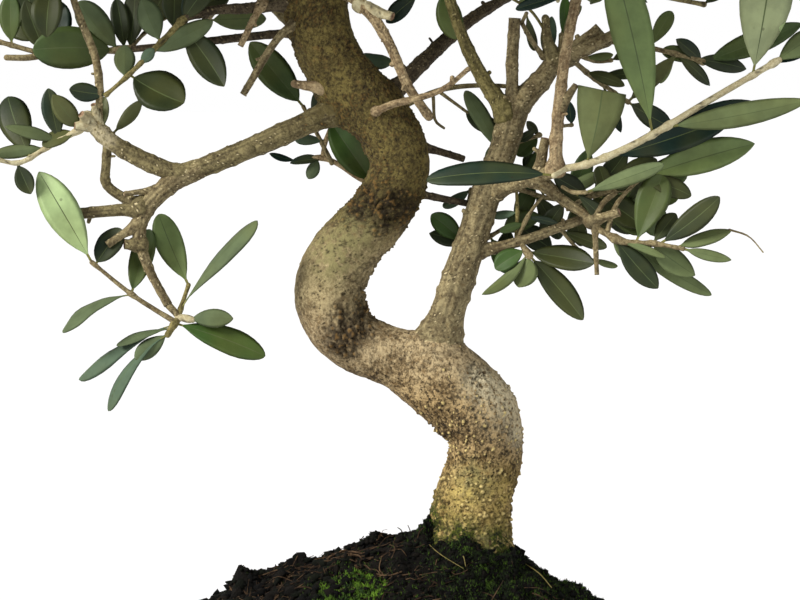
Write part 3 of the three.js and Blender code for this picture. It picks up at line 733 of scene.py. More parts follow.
@dataclass
class Skin:
    """The surface of a limb as rings of places, with the way out and the marks at each."""

    places: Array
    out: Array
    far: Array
    marks: dict[Mark, Array] = field(default_factory=dict)

    CAP_ANGLES = (24, 46, 66, 82)
    CRACK_SWIRL, CRACK_WIDTH = 0.8, 0.2

    @classmethod
    def along(cls, course: Course, shares: Array, radii: Array, sides: int, ends: Ends) -> "Skin":
        """A tube along a course.

        Args:
            course: Its centre line.
            shares: Where its rings stand, as shares of the length.
            radii: The radius at each ring.
            sides: The places in a ring.
            ends: Which of its ends are rounded off.

        Returns:
            The tube's skin.
        """
        middles, ways, far = course.at(shares), course.way(shares), shares * course.length
        rise = np.radians(cls.CAP_ANGLES)
        round_base, round_tip = ends.value
        if round_tip:
            middles = np.vstack((middles, middles[-1] + np.outer(radii[-1] * np.sin(rise), ways[-1])))
            radii = np.concatenate((radii, radii[-1] * np.cos(rise)))
        if round_base:
            middles = np.vstack((middles[0] - np.outer(radii[0] * np.sin(rise[::-1]), ways[0]), middles))
            radii = np.concatenate((radii[0] * np.cos(rise[::-1]), radii))
        extra = (len(rise) * round_base, len(rise) * round_tip)
        ways = np.pad(ways, (extra, (0, 0)), mode="edge")
        far = np.pad(far, extra, mode="edge")
        first = [square_to(ways[0])[0]]
        for way in ways[1:]:
            first.append(unit(first[-1] - way * (first[-1] @ way)))
        first = np.array(first)
        second = np.cross(ways, first)
        turns = np.linspace(0, 2 * math.pi, sides, endpoint=False)
        out = first[:, None] * np.cos(turns)[:, None] + second[:, None] * np.sin(turns)[:, None]
        skin = cls(middles[:, None] + out * radii[:, None, None], out, far)
        skin.marks = {mark: np.zeros(out.shape[:2]) for mark in Mark}
        return skin

    def raise_by(self, heights: Array) -> None:
        """Moves each place out by its height."""
        self.places = self.places + self.out * heights[..., None]

    def note(self, mark: Mark, share: Array) -> None:
        """Keeps the stronger of a mark and what was there."""
        self.marks[mark] = np.maximum(self.marks[mark], np.clip(share, 0, 1))

    def crack(self, where: Array, size: float, depth: float, seed: int) -> None:
        """Cuts fine dark cracks that run more along the limb than round it.

        Args:
            where: The share of the cracks' depth at each place.
            size: How far apart the cracks are.
            depth: How deep they are.
            seed: The seed of their course.
        """
        lumps = Lumps(seed)
        turns = np.stack([lumps(self.places + 50 * k, 1.6 * size) for k in range(3)], axis=-1)
        swirl = (self.places + self.CRACK_SWIRL * size * turns) * (1, 1, 0.6)
        lines = np.clip(1 - np.abs(lumps(swirl, size)) / self.CRACK_WIDTH, 0, 1) * where
        self.raise_by(-depth * lines)
        self.note(Mark.PIT, 0.9 * lines)

    def around(self, middle: Place, size: float) -> Array:
        """A share that is 1 at a place and fades out over a size."""
        return np.exp(-(np.linalg.norm(self.places - np.array(middle), axis=-1) ** 2) / size**2)


@dataclass(frozen=True)
class Relief:
    """How far a bark rises in lumps, in ridges along the limb and in fine grain, and how dark its furrows are."""

    lumps: float
    ridges: float
    grain: float
    furrows: float = 0.0

    COARSE_LUMPS, FINE_LUMPS = 17.0, 6.5
    COARSE_GRAIN, FINE_GRAIN = 2.4, 1.2

    def carve(self, skin: Skin, seed: int, share: float = 1.0) -> None:
        """Raises a skin's lumps, ridges and grain, and darkens its furrows.

        Args:
            skin: The skin.
            seed: The seed of their places.
            share: The share of their height that they get.
        """
        lumps = Lumps(seed)
        heights = 0.65 * lumps(skin.places, self.COARSE_LUMPS) + 0.35 * lumps(skin.places, self.FINE_LUMPS)
        grain = 0.6 * lumps(skin.places, self.COARSE_GRAIN) + 0.4 * lumps(skin.places, self.FINE_GRAIN)
        stretched = skin.out * 7.0
        stretched[..., 2] += skin.far[:, None] / 12
        stretched[..., 0] += skin.far[:, None] / 20
        ridges = lumps(stretched, 1.2)
        skin.note(Mark.PIT, self.furrows * smooth(-2 * ridges))
        skin.raise_by(share * (self.lumps * heights + self.ridges * ridges + self.grain * grain))


@dataclass(frozen=True)
class Dots:
    """Beads and pits, so many to the square centimetre. Beads with a paleness below nought are dark. Each bead gets a
    painted shadow ring round it.
    """

    density: float
    size: float
    height: float
    pits: float
    pale: float

    LEAST_STEP = 0.05
    SMALLEST, LARGEST = 0.55, 1.3
    RIM, RIM_WIDTH = 1.15, 0.3

    def deal(self, skin: Skin, seed: int, where: Optional[Array] = None) -> None:
        """Deals the dots over a skin.

        Args:
            skin: The skin.
            seed: The seed of their places.
            where: The share of them that stays at each place, all where it isn't given.
        """
        rings, sides = skin.out.shape[:2]
        edges = np.linalg.norm(skin.places - np.roll(skin.places, 1, axis=1), axis=-1).mean(axis=1)
        steps = np.maximum(np.gradient(skin.far), self.LEAST_STEP)
        areas = edges * sides * steps
        dealer = np.random.default_rng(seed)
        count = int(self.density * areas.sum() / 100)
        rows = dealer.choice(rings, count, p=areas / areas.sum())
        columns = dealer.integers(0, sides, count)
        sizes = self.size * dealer.uniform(self.SMALLEST, self.LARGEST, count)
        chances = dealer.random((count, 2))
        heights = np.zeros((rings, sides))
        for ring, side, size, (stays, sinks) in zip(rows, columns, sizes, chances):
            if where is not None and stays > where[ring, side]:
                continue
            up, across = int(1.5 * size / max(steps[ring], 0.2)) + 1, int(1.5 * size / edges[ring]) + 1
            near = np.ix_(
                np.arange(max(0, ring - up), min(rings, ring + up + 1)),
                np.arange(side - across, side + across + 1) % sides,
            )
            apart = np.linalg.norm(skin.places[near] - skin.places[ring, side], axis=-1) / size
            mound = np.clip(1 - apart**2, 0, 1) ** 1.2
            rim = np.exp(-(((apart - self.RIM) / self.RIM_WIDTH) ** 2))
            pit = sinks < self.pits
            heights[near] += self.height * (0.3 * rim - 0.7 * mound if pit else mound)
            # Beads get a painted shadow ring round their rim, and dark beads are dark over their mound; pits are dark
            # over their hollow.
            dark = mound if pit else 0.75 * rim - min(self.pale, 0) * mound
            shares = {Mark.PIT: dark, Mark.DOT: mound * (0 if pit else max(self.pale, 0))}
            for mark, share in shares.items():
                skin.marks[mark][near] = np.maximum(skin.marks[mark][near], share)
        skin.raise_by(np.clip(heights, -self.height, self.height))


@dataclass
class Timber:
    """The limbs grown so far, as balls along their centre lines."""

    SPACING = 1.5

    middles: Array = field(default_factory=lambda: np.empty((0, 3)))
    radii: Array = field(default_factory=lambda: np.empty(0))

    def add(self, course: Course, widths: Pairs) -> None:
        """Takes in a limb.

        Args:
            course: Its centre line.
            widths: Its diameters along that.
        """
        far = np.arange(0, course.length, self.SPACING)
        self.middles = np.vstack((self.middles, course.at(far / course.length)))
        self.radii = np.concatenate((self.radii, width_at(widths, far) / 2))

    def depth(self, places: Array, near: Array, room: float) -> Array:
        """How far places lie outside the limbs that pass near a place.

        Args:
            places: The places.
            near: The place that the limbs pass.
            room: How near they pass.

        Returns:
            The distances, below nought inside a limb.
        """
        close = np.linalg.norm(self.middles - near, axis=1) - self.radii < room
        depths = np.full(places.shape[:-1], np.inf)
        for middle, radius in zip(self.middles[close], self.radii[close]):
            depths = np.minimum(depths, np.linalg.norm(places - middle, axis=-1) - radius)
        return depths

    def clear(self, places: Array, room: float) -> bool:
        """Whether places keep clear of every limb."""
        apart = np.linalg.norm(places[:, None] - self.middles, axis=-1)
        return bool(np.all(apart > self.radii + room))


def fillet(depths: Array, size: float) -> Array:
    """How far a surface swells where it runs into another, from its distances to that."""
    near = np.clip(1 - np.abs(depths) / size, 0, 1)
    return near * near * size / 4


def crease(depths: Array, size: float) -> Array:
    """A thin line where two swollen surfaces meet, from the distances to the other one."""
    return np.exp(-(((depths - (3 - math.sqrt(8)) * size) / 0.5) ** 2))


class BarkMesh:
    """Tubes of bark gathered in one mesh, with the marks that their finish reads."""

    CUT_RIM, CUT_DEPTH = 0.105, 0.09
    SAME_PLACE = 1e-7

    def __init__(self, name: str) -> None:
        """Starts an empty mesh of a name."""
        self.name, self.shape = name, bmesh.new()
        self.layers = {mark: self.shape.verts.layers.float.new(mark.value) for mark in Mark}

    def tube(self, skin: Skin, slot: int, cut: bool) -> None:
        """Bends a grid into a skin's tube, welds its seam and closes its ends.

        Args:
            skin: The skin.
            slot: Its material slot.
            cut: Whether its end is a pruning cut, of pale wood.
        """
        rings, sides = skin.out.shape[:2]
        grid = bmesh.ops.create_grid(self.shape, x_segments=sides, y_segments=rings - 1, size=1.0)["verts"]
        columns = np.arange(sides + 1) % sides
        for vert, place in zip(grid, (skin.places[:, columns] * MM).reshape(-1, 3)):
            vert.co = place
        for mark, layer in self.layers.items():
            if skin.marks[mark].any():
                for vert, share in zip(grid, skin.marks[mark][:, columns].ravel()):
                    vert[layer] = share
        for face in {face for vert in grid for face in vert.link_faces}:
            face.material_index = slot
            face.smooth = True
        ends = (grid[: sides], grid[(rings - 1) * (sides + 1) : (rings - 1) * (sides + 1) + sides])
        seam = grid[:: sides + 1] + grid[sides :: sides + 1]
        bmesh.ops.remove_doubles(self.shape, verts=seam, dist=self.SAME_PLACE)
        for ring in ends:
            edges = {edge for vert in ring if vert.is_valid for edge in vert.link_edges if edge.is_boundary}
            caps = bmesh.ops.holes_fill(self.shape, edges=list(edges), sides=0)["faces"]
            sawn = cut and ring is ends[1]
            for cap in caps:
                cap.material_index = CUT_SLOT if sawn else slot
            if sawn:
                size = float(np.linalg.norm(skin.places[-1, 0] - skin.places[-1, sides // 2])) * MM
                rim, depth = self.CUT_RIM * size, -self.CUT_DEPTH * size
                bmesh.ops.inset_individual(self.shape, faces=caps, thickness=rim, depth=depth)

    def done(self) -> bpy.types.Mesh:
        """The mesh, with its faces pointing out."""
        bmesh.ops.recalc_face_normals(self.shape, faces=self.shape.faces)
        return meshed(self.shape, self.name)


@dataclass(frozen=True)
class Limb:
    """A bough or stub: its centre line, its diameter at both ends and its bark."""

    line: Line
    base: float
    tip: float
    bark: BarkKind = BarkKind.OLIVE
    stubs: tuple["Limb", ...] = ()
    cut: bool = False
    collar: float = 1.3
    peeled: float = 1.0
    grime: float = 0.0

    COLLAR_LENGTH_SHARE = 0.2
    COLLAR_LENGTH_WIDTHS = 1.2
    FILLET = 1.2
    SLIGHT_FILLET = 0.2
    CREASE = 0.4
    MESH_STEP, THIN_MESH_STEP, THIN = 0.62, 0.8, 4.0
    CRACKED = 5.0
    RELIEF = Relief(0.4, 0.34, 0.14, 0.55)
    FULL_RELIEF_WIDTH = 9.0
    PORES = Dots(7.0, 0.55, 0.22, 0.4, 0.75)
    NODE_SPACING, NODE_SWELL, NODE_LENGTH = 12.0, 0.09, 1.2
    PEEL_LENGTH, PEEL_EDGE = 0.14, 0.03
    SPUR_CHANCE = 0.45
    GRIME_REACH = 13.0

    def widths(self, length: float) -> Pairs:
        """Its diameters along its length: a collar, then an even taper."""
        collar = min(length * self.COLLAR_LENGTH_SHARE, self.base * self.COLLAR_LENGTH_WIDTHS)
        return [(0, self.base * self.collar), (collar, self.base), (length, self.tip)]

    def grow(self, mesh: BarkMesh, timber: Timber, seed: int) -> None:
        """Adds the limb and its stubs to a mesh.

        Args:
            mesh: The mesh of bark.
            timber: The limbs that it grows out of, which it joins.
            seed: The seed of its bark.
        """
        course = Course.through(self.line)
        widths = self.widths(course.length)
        step = self.MESH_STEP if self.base > self.THIN else self.THIN_MESH_STEP
        rings = max(6, int(course.length / step))
        sides = int(np.clip(math.pi * self.base / step, 12, 76))
        far = np.linspace(0, course.length, rings)
        radii = width_at(widths, far) / 2
        dice = Dice(seed)
        nodes = np.arange(self.NODE_SPACING * (0.6 + dice()), course.length - 3, self.NODE_SPACING)
        nodes = [node + 6 * (dice() - 0.5) for node in nodes]
        for node in nodes:
            radii = radii * (1 + self.NODE_SWELL * np.exp(-(((far - node) / self.NODE_LENGTH) ** 2)))
        skin = Skin.along(course, far / course.length, radii, sides, Ends.CUT_TIP if self.cut else Ends.ROUND)
        start = np.array(self.line[0], float)
        depths = timber.depth(skin.places, start, 3 * self.base)
        join = self.base * (self.FILLET if self.collar > 1 else self.SLIGHT_FILLET)
        skin.raise_by(fillet(depths, join))
        if self.base > self.CRACKED:
            skin.crack(0.25 * np.ones(depths.shape), 2.8, 0.5, seed)
        self.RELIEF.carve(skin, seed, min(1, self.base / self.FULL_RELIEF_WIDTH))
        self.PORES.deal(skin, seed)
        if self.collar > 1:
            skin.note(Mark.PIT, self.CREASE * crease(depths, join))
        skin.note(Mark.GRIME, self.grime * np.exp(-((np.maximum(depths, 0) / self.GRIME_REACH) ** 2)))
        bare = (skin.far / course.length - self.peeled)[:, None] * np.ones(depths.shape)
        skin.note(Mark.PALE, 0.7 * smooth(bare / self.PEEL_LENGTH))
        skin.note(Mark.PIT, 0.35 * np.exp(-((bare / self.PEEL_EDGE) ** 2)))
        mesh.tube(skin, self.bark.slot, self.cut)
        timber.add(course, widths)
        for node in nodes:
            if dice() < self.SPUR_CHANCE and node > self.base:
                self._spur(mesh, course, widths, node, dice)
        for number, stub in enumerate(self.stubs, 1):
            stub.grow(mesh, timber, seed * 10 + number)

    def _spur(self, mesh: BarkMesh, course: Course, widths: Pairs, far: float, dice: Dice) -> None:
        """Adds the stump of a fallen twig at a distance along the limb.

        Args:
            mesh: The mesh of bark.
            course: The limb's centre line.
            widths: Its diameters.
            far: The distance.
            dice: The numbers that turn and size it.
        """
        share = far / course.length
        way = course.way(share)
        out = beside(way, dice() * 2 * math.pi)
        radius = float(width_at(widths, np.array([far]))[0]) / 2
        foot = course.at(share)
        tip = foot + out * (radius + mix(0.6, 2.6, dice())) + way * mix(0.4, 2.0, dice())
        spur = Course(np.linspace(foot, tip, 6))
        size = mix(0.45, 0.85, dice())
        shares = np.linspace(0, 1, 7)
        skin = Skin.along(spur, shares, np.linspace(1.3 * size, size, 7), 9, Ends.ROUND)
        self.RELIEF.carve(skin, int(dice() * 1e6))
        mesh.tube(skin, self.bark.slot, False)


def stub(line: Line, base: float, tip: float, bark: BarkKind = BarkKind.OLIVE) -> Limb:
    """A pruned stub, cut off at its tip."""
    return Limb(line, base, tip, bark, cut=True)


OLIVE, TAN, GREEN = BarkKind.OLIVE, BarkKind.TAN, BarkKind.GREEN
PALE, ROSY, DARK = BarkKind.PALE, BarkKind.ROSY, BarkKind.DARK

BOUGHS_LEFT = {
    "bough_left": Limb(
        ((-21, -2, 275), (-39, -6, 269), (-69, -10, 256), (-97, -12, 245)), 9.6, 8, grime=1.0,
        stubs=(Limb(((-67, -9.8, 256.6), (-67, -14, 256)), 3.6, 3.2),),
    ),
    "bough_left_upper": Limb(
        ((-88, -11.3, 248.5), (-97, -12, 247), (-122, -14, 258), (-134, -15, 269)), 7.4, 7, collar=1, peeled=0.66,
        stubs=(
            stub(((-131, -15, 266), (-139, -18, 266)), 3.4, 3, PALE),
            stub(((-131, -15, 267), (-136, -20, 271)), 3.4, 2.8, PALE),
            stub(((-129, -15, 268), (-131, -20, 275)), 3, 2.4, PALE),
        ),
    ),
    "bough_left_lower": Limb(
        ((-88, -11.3, 248.5), (-98, -12, 243.5), (-110, -14, 232), (-113, -15, 221), (-109, -15, 207),
        (-101, -16, 192)), 7.8, 3.4, TAN, cut=True, collar=1,
        stubs=(
            stub(((-112, -14, 232), (-138, -17, 230)), 5, 4.6),
            stub(((-105, -13, 240), (-119, -16, 238)), 2.6, 2.2, TAN),
            stub(((-113, -15, 226), (-126, -18, 217)), 3.6, 3.2, TAN),
            stub(((-112, -15, 217), (-119, -17, 217)), 4.4, 3.6),
            Limb(((-112, -13, 234), (-119, -10, 236), (-127, -9, 242), (-127, -10, 250), (-126, -13, 260)), 4.2, 3.6),
        ),
    ),
    "bough_left_riser": Limb(
        ((-130, -15, 267), (-129, -15, 276), (-130, -16, 292), (-139, -18, 318), (-141, -20, 334)), 3.4, 2.8, TAN,
    ),
    "bough_upper_left": Limb(((-38, 0, 306), (-71, 5, 303), (-98, 8, 300), (-119, 10, 298)), 3.8, 2.9, DARK),
    "bough_top_left": Limb(
        ((-40, 0, 319), (-65, -6, 315), (-82, -9, 314), (-93, -12, 311)), 5.4, 3.4, DARK,
        stubs=(stub(((-62, -6, 317), (-66, -12, 309), (-71, -13, 299)), 3, 2.6, ROSY),),
    ),
}
BOUGHS_RIGHT = {
    "bough_stub_right": Limb(
        ((-34, 0, 328), (-17, -12, 312), (-9, -15, 299), (-2, -16, 283), (7, -17, 270)), 5.2, 3.6, ROSY,
        stubs=(stub(((-22, -9, 316), (-8, -16, 311)), 3.8, 3.4, PALE),),
    ),
    "bough_right": Limb(
        ((12, 0, 158), (10.7, 0, 172), (13.7, 0, 184), (21.6, 1, 208), (32, 2, 239), (38, 3, 255), (43, 4, 272)),
        14.4, 11.4, TAN,
        stubs=(stub(((42, 4, 268), (42, 3, 294), (43, 3, 311)), 5.4, 4.8, TAN),),
    ),
    "bough_right_inner": Limb(
        ((40, 3, 270), (30, 1, 285), (22, -1, 301), (16, -3, 318), (14, -4, 331)), 6.2, 4.4, GREEN,
    ),
    "bough_right_main": Limb(
        ((39, 3.2, 262), (43, 4, 272), (55, 7, 286), (61, 9, 293), (82, 13, 302)), 9.6, 5.6, TAN, collar=1,
        stubs=(
            stub(((66, 10, 295), (79, 9, 307)), 5.2, 4.8, TAN),
            stub(((64, 9, 294), (74, 5, 299), (84, 4, 304)), 4.6, 4.2, TAN),
            Limb(((60, 9, 292), (57, 9, 301), (56, 8, 311)), 5.4, 3.4, OLIVE),
            stub(((55, 8, 295), (50, 6, 302), (46, 5, 309)), 2.2, 1.8, TAN),
        ),
    ),
    "bough_right_side": Limb(
        ((32, 2, 237), (49, -12, 244), (59, -20, 248)), 5.4, 5.8, TAN,
        stubs=(stub(((52, -14, 245), (55, -17, 261)), 4.2, 3.8, TAN),),
    ),
    "bough_right_riser": Limb(
        ((59, -20, 248), (60, -22, 271), (63, -23, 297), (67, -24, 318), (68, -25, 332)), 5, 4.2, ROSY,
        stubs=(stub(((61, -22, 273), (67, -25, 283)), 3, 2.6, TAN),),
    ),
    "bough_right_drop": Limb(
        ((50, -13, 244), (63, -19, 235), (72, -22, 229), (76, -23, 224)), 4.4, 3.6, TAN,
        stubs=(
            stub(((75, -23, 226), (76, -24, 205)), 2.3, 2, TAN),
            stub(((73, -22, 227), (85, -26, 231)), 4, 3.6, TAN),
            stub(((74, -22, 228), (79, -22, 235), (84, -22, 239)), 2.4, 2, TAN),
        ),
    ),
    "bough_right_low": Limb(((24, 1, 212), (46, -3, 218), (62, -7, 224), (70, -9, 227)), 4.6, 3.8, TAN),
}
BOUGHS_CROWN = {
    "bough_back_right": Limb(((-14, 0, 274), (8, 20, 296), (25, 36, 311), (44, 52, 323)), 7.2, 4.2, DARK),
    "bough_back_left": Limb(((-33, -2, 292), (-54, 24, 312), (-76, 46, 332)), 5.6, 3.8),
    "bough_crown_front": Limb(((-36, 2, 334), (-34, -22, 346), (-28, -44, 356)), 6, 4),
    "bough_crown_back": Limb(((-38, 2, 328), (-34, 30, 342), (-26, 52, 352)), 6, 4),
    "bough_crown_left": Limb(((-34, 3, 341), (-62, 0, 352), (-84, -6, 362)), 6, 3.8),
    "bough_crown_right": Limb(((-26, 2, 353), (4, 8, 356), (34, 16, 362)), 6, 3.8),
}
BOUGHS = {**BOUGHS_LEFT, **BOUGHS_RIGHT, **BOUGHS_CROWN}


@dataclass(frozen=True)
class Patch:
    """A place on the trunk where its bark differs; some patches are painted light."""

    mark: Mark
    middle: Place
    size: float
    height: float


def alike(mark: Mark, *rows: tuple[Place, float, float]) -> list[Patch]:
    """Patches of one kind, from their middles, sizes and heights."""
    return [Patch(mark, *row) for row in rows]


@dataclass
class Trunk:
    """The trunk, from its root flare in the soil to its tip, with its stubs."""

    ground: float = 90.0
    root_depth: float = 7.0
    flare: float = 6.0
    flare_height: float = 9.0
    toes: float = 3.2
    toe_swell: float = 1.2
    toe_height: float = 7.0
    sides: int = 170
    rings: int = 520
    ring_ease: float = 0.72
    relief: Relief = Relief(0.9, 0.16, 0.34)
    pores: Dots = Dots(5.5, 0.65, 0.3, 0.85, 0.25)
    beads: Dots = Dots(9.0, 0.85, 0.8, 0.4, 0.8)
    warts: Dots = Dots(12.0, 1.2, 0.9, 0.15, -0.3)
    grains: Dots = Dots(18.0, 1.2, 1.0, 0.35, 0.55)
    grit: Dots = Dots(44.0, 0.62, 0.5, 0.2, 0.5)
    foot_length: float = 94.0
    foot_fade: float = 40.0
    grit_start: float = 222.0
    grit_fade: float = 20.0
    bough_room: float = 30.0
    strength: float = 1.4
    # How strongly the painted light patches show on the foot.
    straw_strength: float = 0.9
    rough_edges: Sequence[tuple[Place, float]] = (
        ((47, -2, 134), 10), ((44, 0, 118), 10), ((41, -4, 102), 9), ((49, -2, 148), 8), ((13, -4, 138), 6),
        ((11, -3, 126), 6), ((8, -3, 114), 7), ((-15, 0, 201), 9), ((-14, 4, 212), 7), ((8, 0, 236), 9),
        ((2, 0, 222), 7),
    )
    widths: Pairs = ((0, 31), (43, 31), (58, 35), (99, 24.5), (141, 29), (185, 25), (285, 26), (346, 12))
    line: Line = (
        (24, 0, 90), (26, 0, 110), (31, -1, 132), (27, -1, 146), (13, 0, 159), (-8, 2, 168.5), (-28, 4, 179),
        (-35, 5, 197), (-27, 4, 215), (-14, 1, 229), (-5, -3, 250), (-12, -4, 268), (-33, -2, 293),
        (-40, 1, 319), (-35, 3, 340), (-22, 2, 358), (-10, 0, 374),
    )
    stubs: Sequence[Limb] = (
        stub(((-4, 0, 260), (22, 8, 252)), 3.6, 3, DARK),
        stub(((-10, 0, 240), (25, 8, 233)), 3.2, 2.8, DARK),
        stub(((-40, -2, 314), (-54, -9, 304), (-70, -12, 279)), 3.4, 2.9, TAN),
        Limb(((-22, -3, 279.5), (-38, -9, 281.5), (-48.5, -12, 283.5)), 4.2, 3.4, ROSY),
        Limb((
            (-15, -7, 272), (-14.5, -18, 272.3), (-8, -21, 275), (0, -22, 277), (9, -22, 279.5), (16, -22, 283.5),
            (23, -22, 289.5),
        ), 3.4, 2, ROSY),
    )
    patches: Sequence[Patch] = (
        *alike(
            Mark.SCAR, ((-30, -10, 176), 7.5, 1.0), ((-25, -10, 184), 8, 1.1), ((-17, -4, 190), 7, 1.0),
            ((-20, -11, 234), 8, 0.7), ((-9, -13, 232), 8, 0.8), ((1, -11, 230), 8, 1.1), ((-10, -13, 224), 4.5, 0.6),
            ((27, -14, 163), 5, 0.6),
        ),
        *alike(Mark.PALE, ((40, -10, 153), 12, 0.3), ((30, -14, 159), 8, 0.2), ((43, -7, 139), 7, 0.0)),
        # Painted light on the right side of the foot, which the key lamp leaves in shade.
        *alike(Mark.STRAW, ((37, -12, 112), 9, 0.0), ((36, -12, 99), 8, 0.0)),
        *alike(
            Mark.ALGAE, ((-33, -8, 213), 11, 0.0), ((-24, -10, 222), 9, 0.0), ((26, -16, 118), 8, 0.0),
            ((22, -18, 95), 8, 0.2), ((33, -16, 93), 8, 0.2),
        ),
        # A painted highlight down the front of the foot.
        *alike(Mark.STRAW, ((22, -16, 113), 8, 0.0), ((21, -16, 102), 8, 0.0)),
        *alike(
            Mark.MOSS, ((7, -4, 98), 13, 0.8), ((8, -8, 92), 12, 0.8), ((20, -17, 94), 9, 0.4),
            ((36, -14, 92), 8, 0.4), ((24, 18, 92), 13, 0.3),
        ),
    )

    LUMPS = Lumps(5)

    def _skin(self) -> tuple[Skin, Course]:
        """The trunk without its marks, from below the ground to its tip.

        Returns:
            Its skin and its centre line.
        """
        course = Course.through(((24, 0, self.ground - self.root_depth), *self.line))
        steps = np.linspace(0, 1, self.rings)
        shares = mix(steps**2, steps, self.ring_ease)
        far = shares * course.length - self.root_depth
        swell = self.flare * np.exp(-np.maximum(far, 0) / self.flare_height)
        radii = (width_at(self.widths, np.maximum(far, 0)) + swell) / 2
        return Skin.along(course, shares, radii, self.sides, Ends.CUT_BASE), course

    def build(self, timber: Timber) -> None:
        """Makes the trunk and its stubs, and takes the trunk into the timber.

        Args:
            timber: The limbs grown so far.
        """
        skin, course = self._skin()
        self._join(skin)
        self._roughen(skin, self._stain(skin))
        mesh = BarkMesh("trunk_bark")
        mesh.tube(skin, BarkKind.OLD.slot, False)
        timber.add(course, [(far + self.root_depth, width) for far, width in self.widths])
        show(mesh.done(), BARK_FINISHES, ["trunk"])
        Boughs("trunk_stubs", self.stubs, 71).build(timber)

    def _join(self, skin: Skin) -> None:
        """Spreads the toes of the roots, and swells the trunk where boughs leave it.

        Args:
            skin: The trunk's skin.
        """
        feet = np.exp(-np.maximum(skin.far - self.root_depth, 0) / self.toe_height)[:, None]
        skin.raise_by(feet * (self.toe_swell + self.toes * self.LUMPS(skin.out * 2.2, 1.0)))
        for limb in BOUGHS.values():
            grown, reach = Course.through(limb.line), Timber()
            reach.add(grown, limb.widths(grown.length))
            depths = reach.depth(skin.places, np.array(limb.line[0], float), self.bough_room)
            skin.raise_by(fillet(depths, limb.base * Limb.FILLET))
            skin.note(Mark.PIT, Limb.CREASE * crease(depths, limb.base * Limb.FILLET))

    def _stain(self, skin: Skin) -> Array:
        """Marks the patches where the bark differs, and the patches of painted light on the foot.

        Args:
            skin: The trunk's skin.

        Returns:
            How scarred each place is.
        """
        scars = np.zeros(skin.out.shape[:2])
        for patch in self.patches:
            share = skin.around(patch.middle, patch.size)
            rough = 0.5 + self.LUMPS(skin.places, 3.4) + 0.7 * self.LUMPS(skin.places, 1.6)
            skin.raise_by(patch.height * share * rough)
            # Patches of painted light take their own strength.
            skin.note(patch.mark, (self.straw_strength if patch.mark is Mark.STRAW else self.strength) * share)
            if patch.mark is Mark.SCAR:
                scars = np.maximum(scars, smooth(1.5 * share))
        return scars

    def _roughen(self, skin: Skin, scars: Array) -> None:
        """Cracks the bark, carves it and deals its dots.

        Args:
            skin: The trunk's skin.
            scars: How scarred each place is.
        """
        foot = smooth((self.foot_length - skin.far) / self.foot_fade)[:, None] * np.ones(scars.shape)
        skin.crack(scars, 3.2, 1.3, 15)
        skin.crack(0.2 * foot, 4.5, 0.5, 16)
        skin.crack(0.2 * foot, 2.6, 0.35, 17)
        self.relief.carve(skin, 7)
        self.pores.deal(skin, 8)
        self.beads.deal(skin, 9, foot)
        self.grains.deal(skin, 10, 0.85 * scars)
        self.warts.deal(skin, 11, np.max([skin.around(*edge) for edge in self.rough_edges], axis=0))
        gritty = smooth((skin.places[..., 2] - self.grit_start) / self.grit_fade)
        self.grit.deal(skin, 12, gritty * smooth(0.3 + 1.5 * self.LUMPS(skin.places, 13)))


@dataclass
class Boughs:
    """Boughs or stubs in one piece, and the nodes that they stand for."""

    name: str
    limbs: Sequence[Limb]
    seed: int
    nodes: Sequence[str] = ()

    def build(self, timber: Timber) -> None:
        """Grows them out of the timber and shows them.

        Args:
            timber: The limbs grown so far.
        """
        mesh = BarkMesh(self.name)
        for number, limb in enumerate(self.limbs):
            limb.grow(mesh, timber, self.seed + number)
        show(mesh.done(), BARK_FINISHES, self.nodes)


@dataclass
class Leaf:
    """A leaf: where it is rooted, how it lies, its size and its tint."""

    root: Array
    along: Array
    face: Array
    length: float
    width: float
    tint: Tint
    bend: Optional[float] = None
    eaten: float = 1.0

    @classmethod
    def facing(cls, root: Array, along: Array, face: Array, *sizes: Any) -> "Leaf":
        """A leaf with its face turned square to its length."""
        return cls(root, along, unit(face - along * (face @ along)), *sizes)

    def corners(self) -> Array:
        """What stands for it in clearance tests.

        Returns:
            Places along its middle and at its edges.
        """
        across = np.cross(self.face, self.along)
        spine = [self.root + self.along * self.length * share for share in (0.3, 0.5, 0.75, 1)]
        return np.array(spine + [spine[1] + across * side * self.width for side in (-0.5, 0.5)])


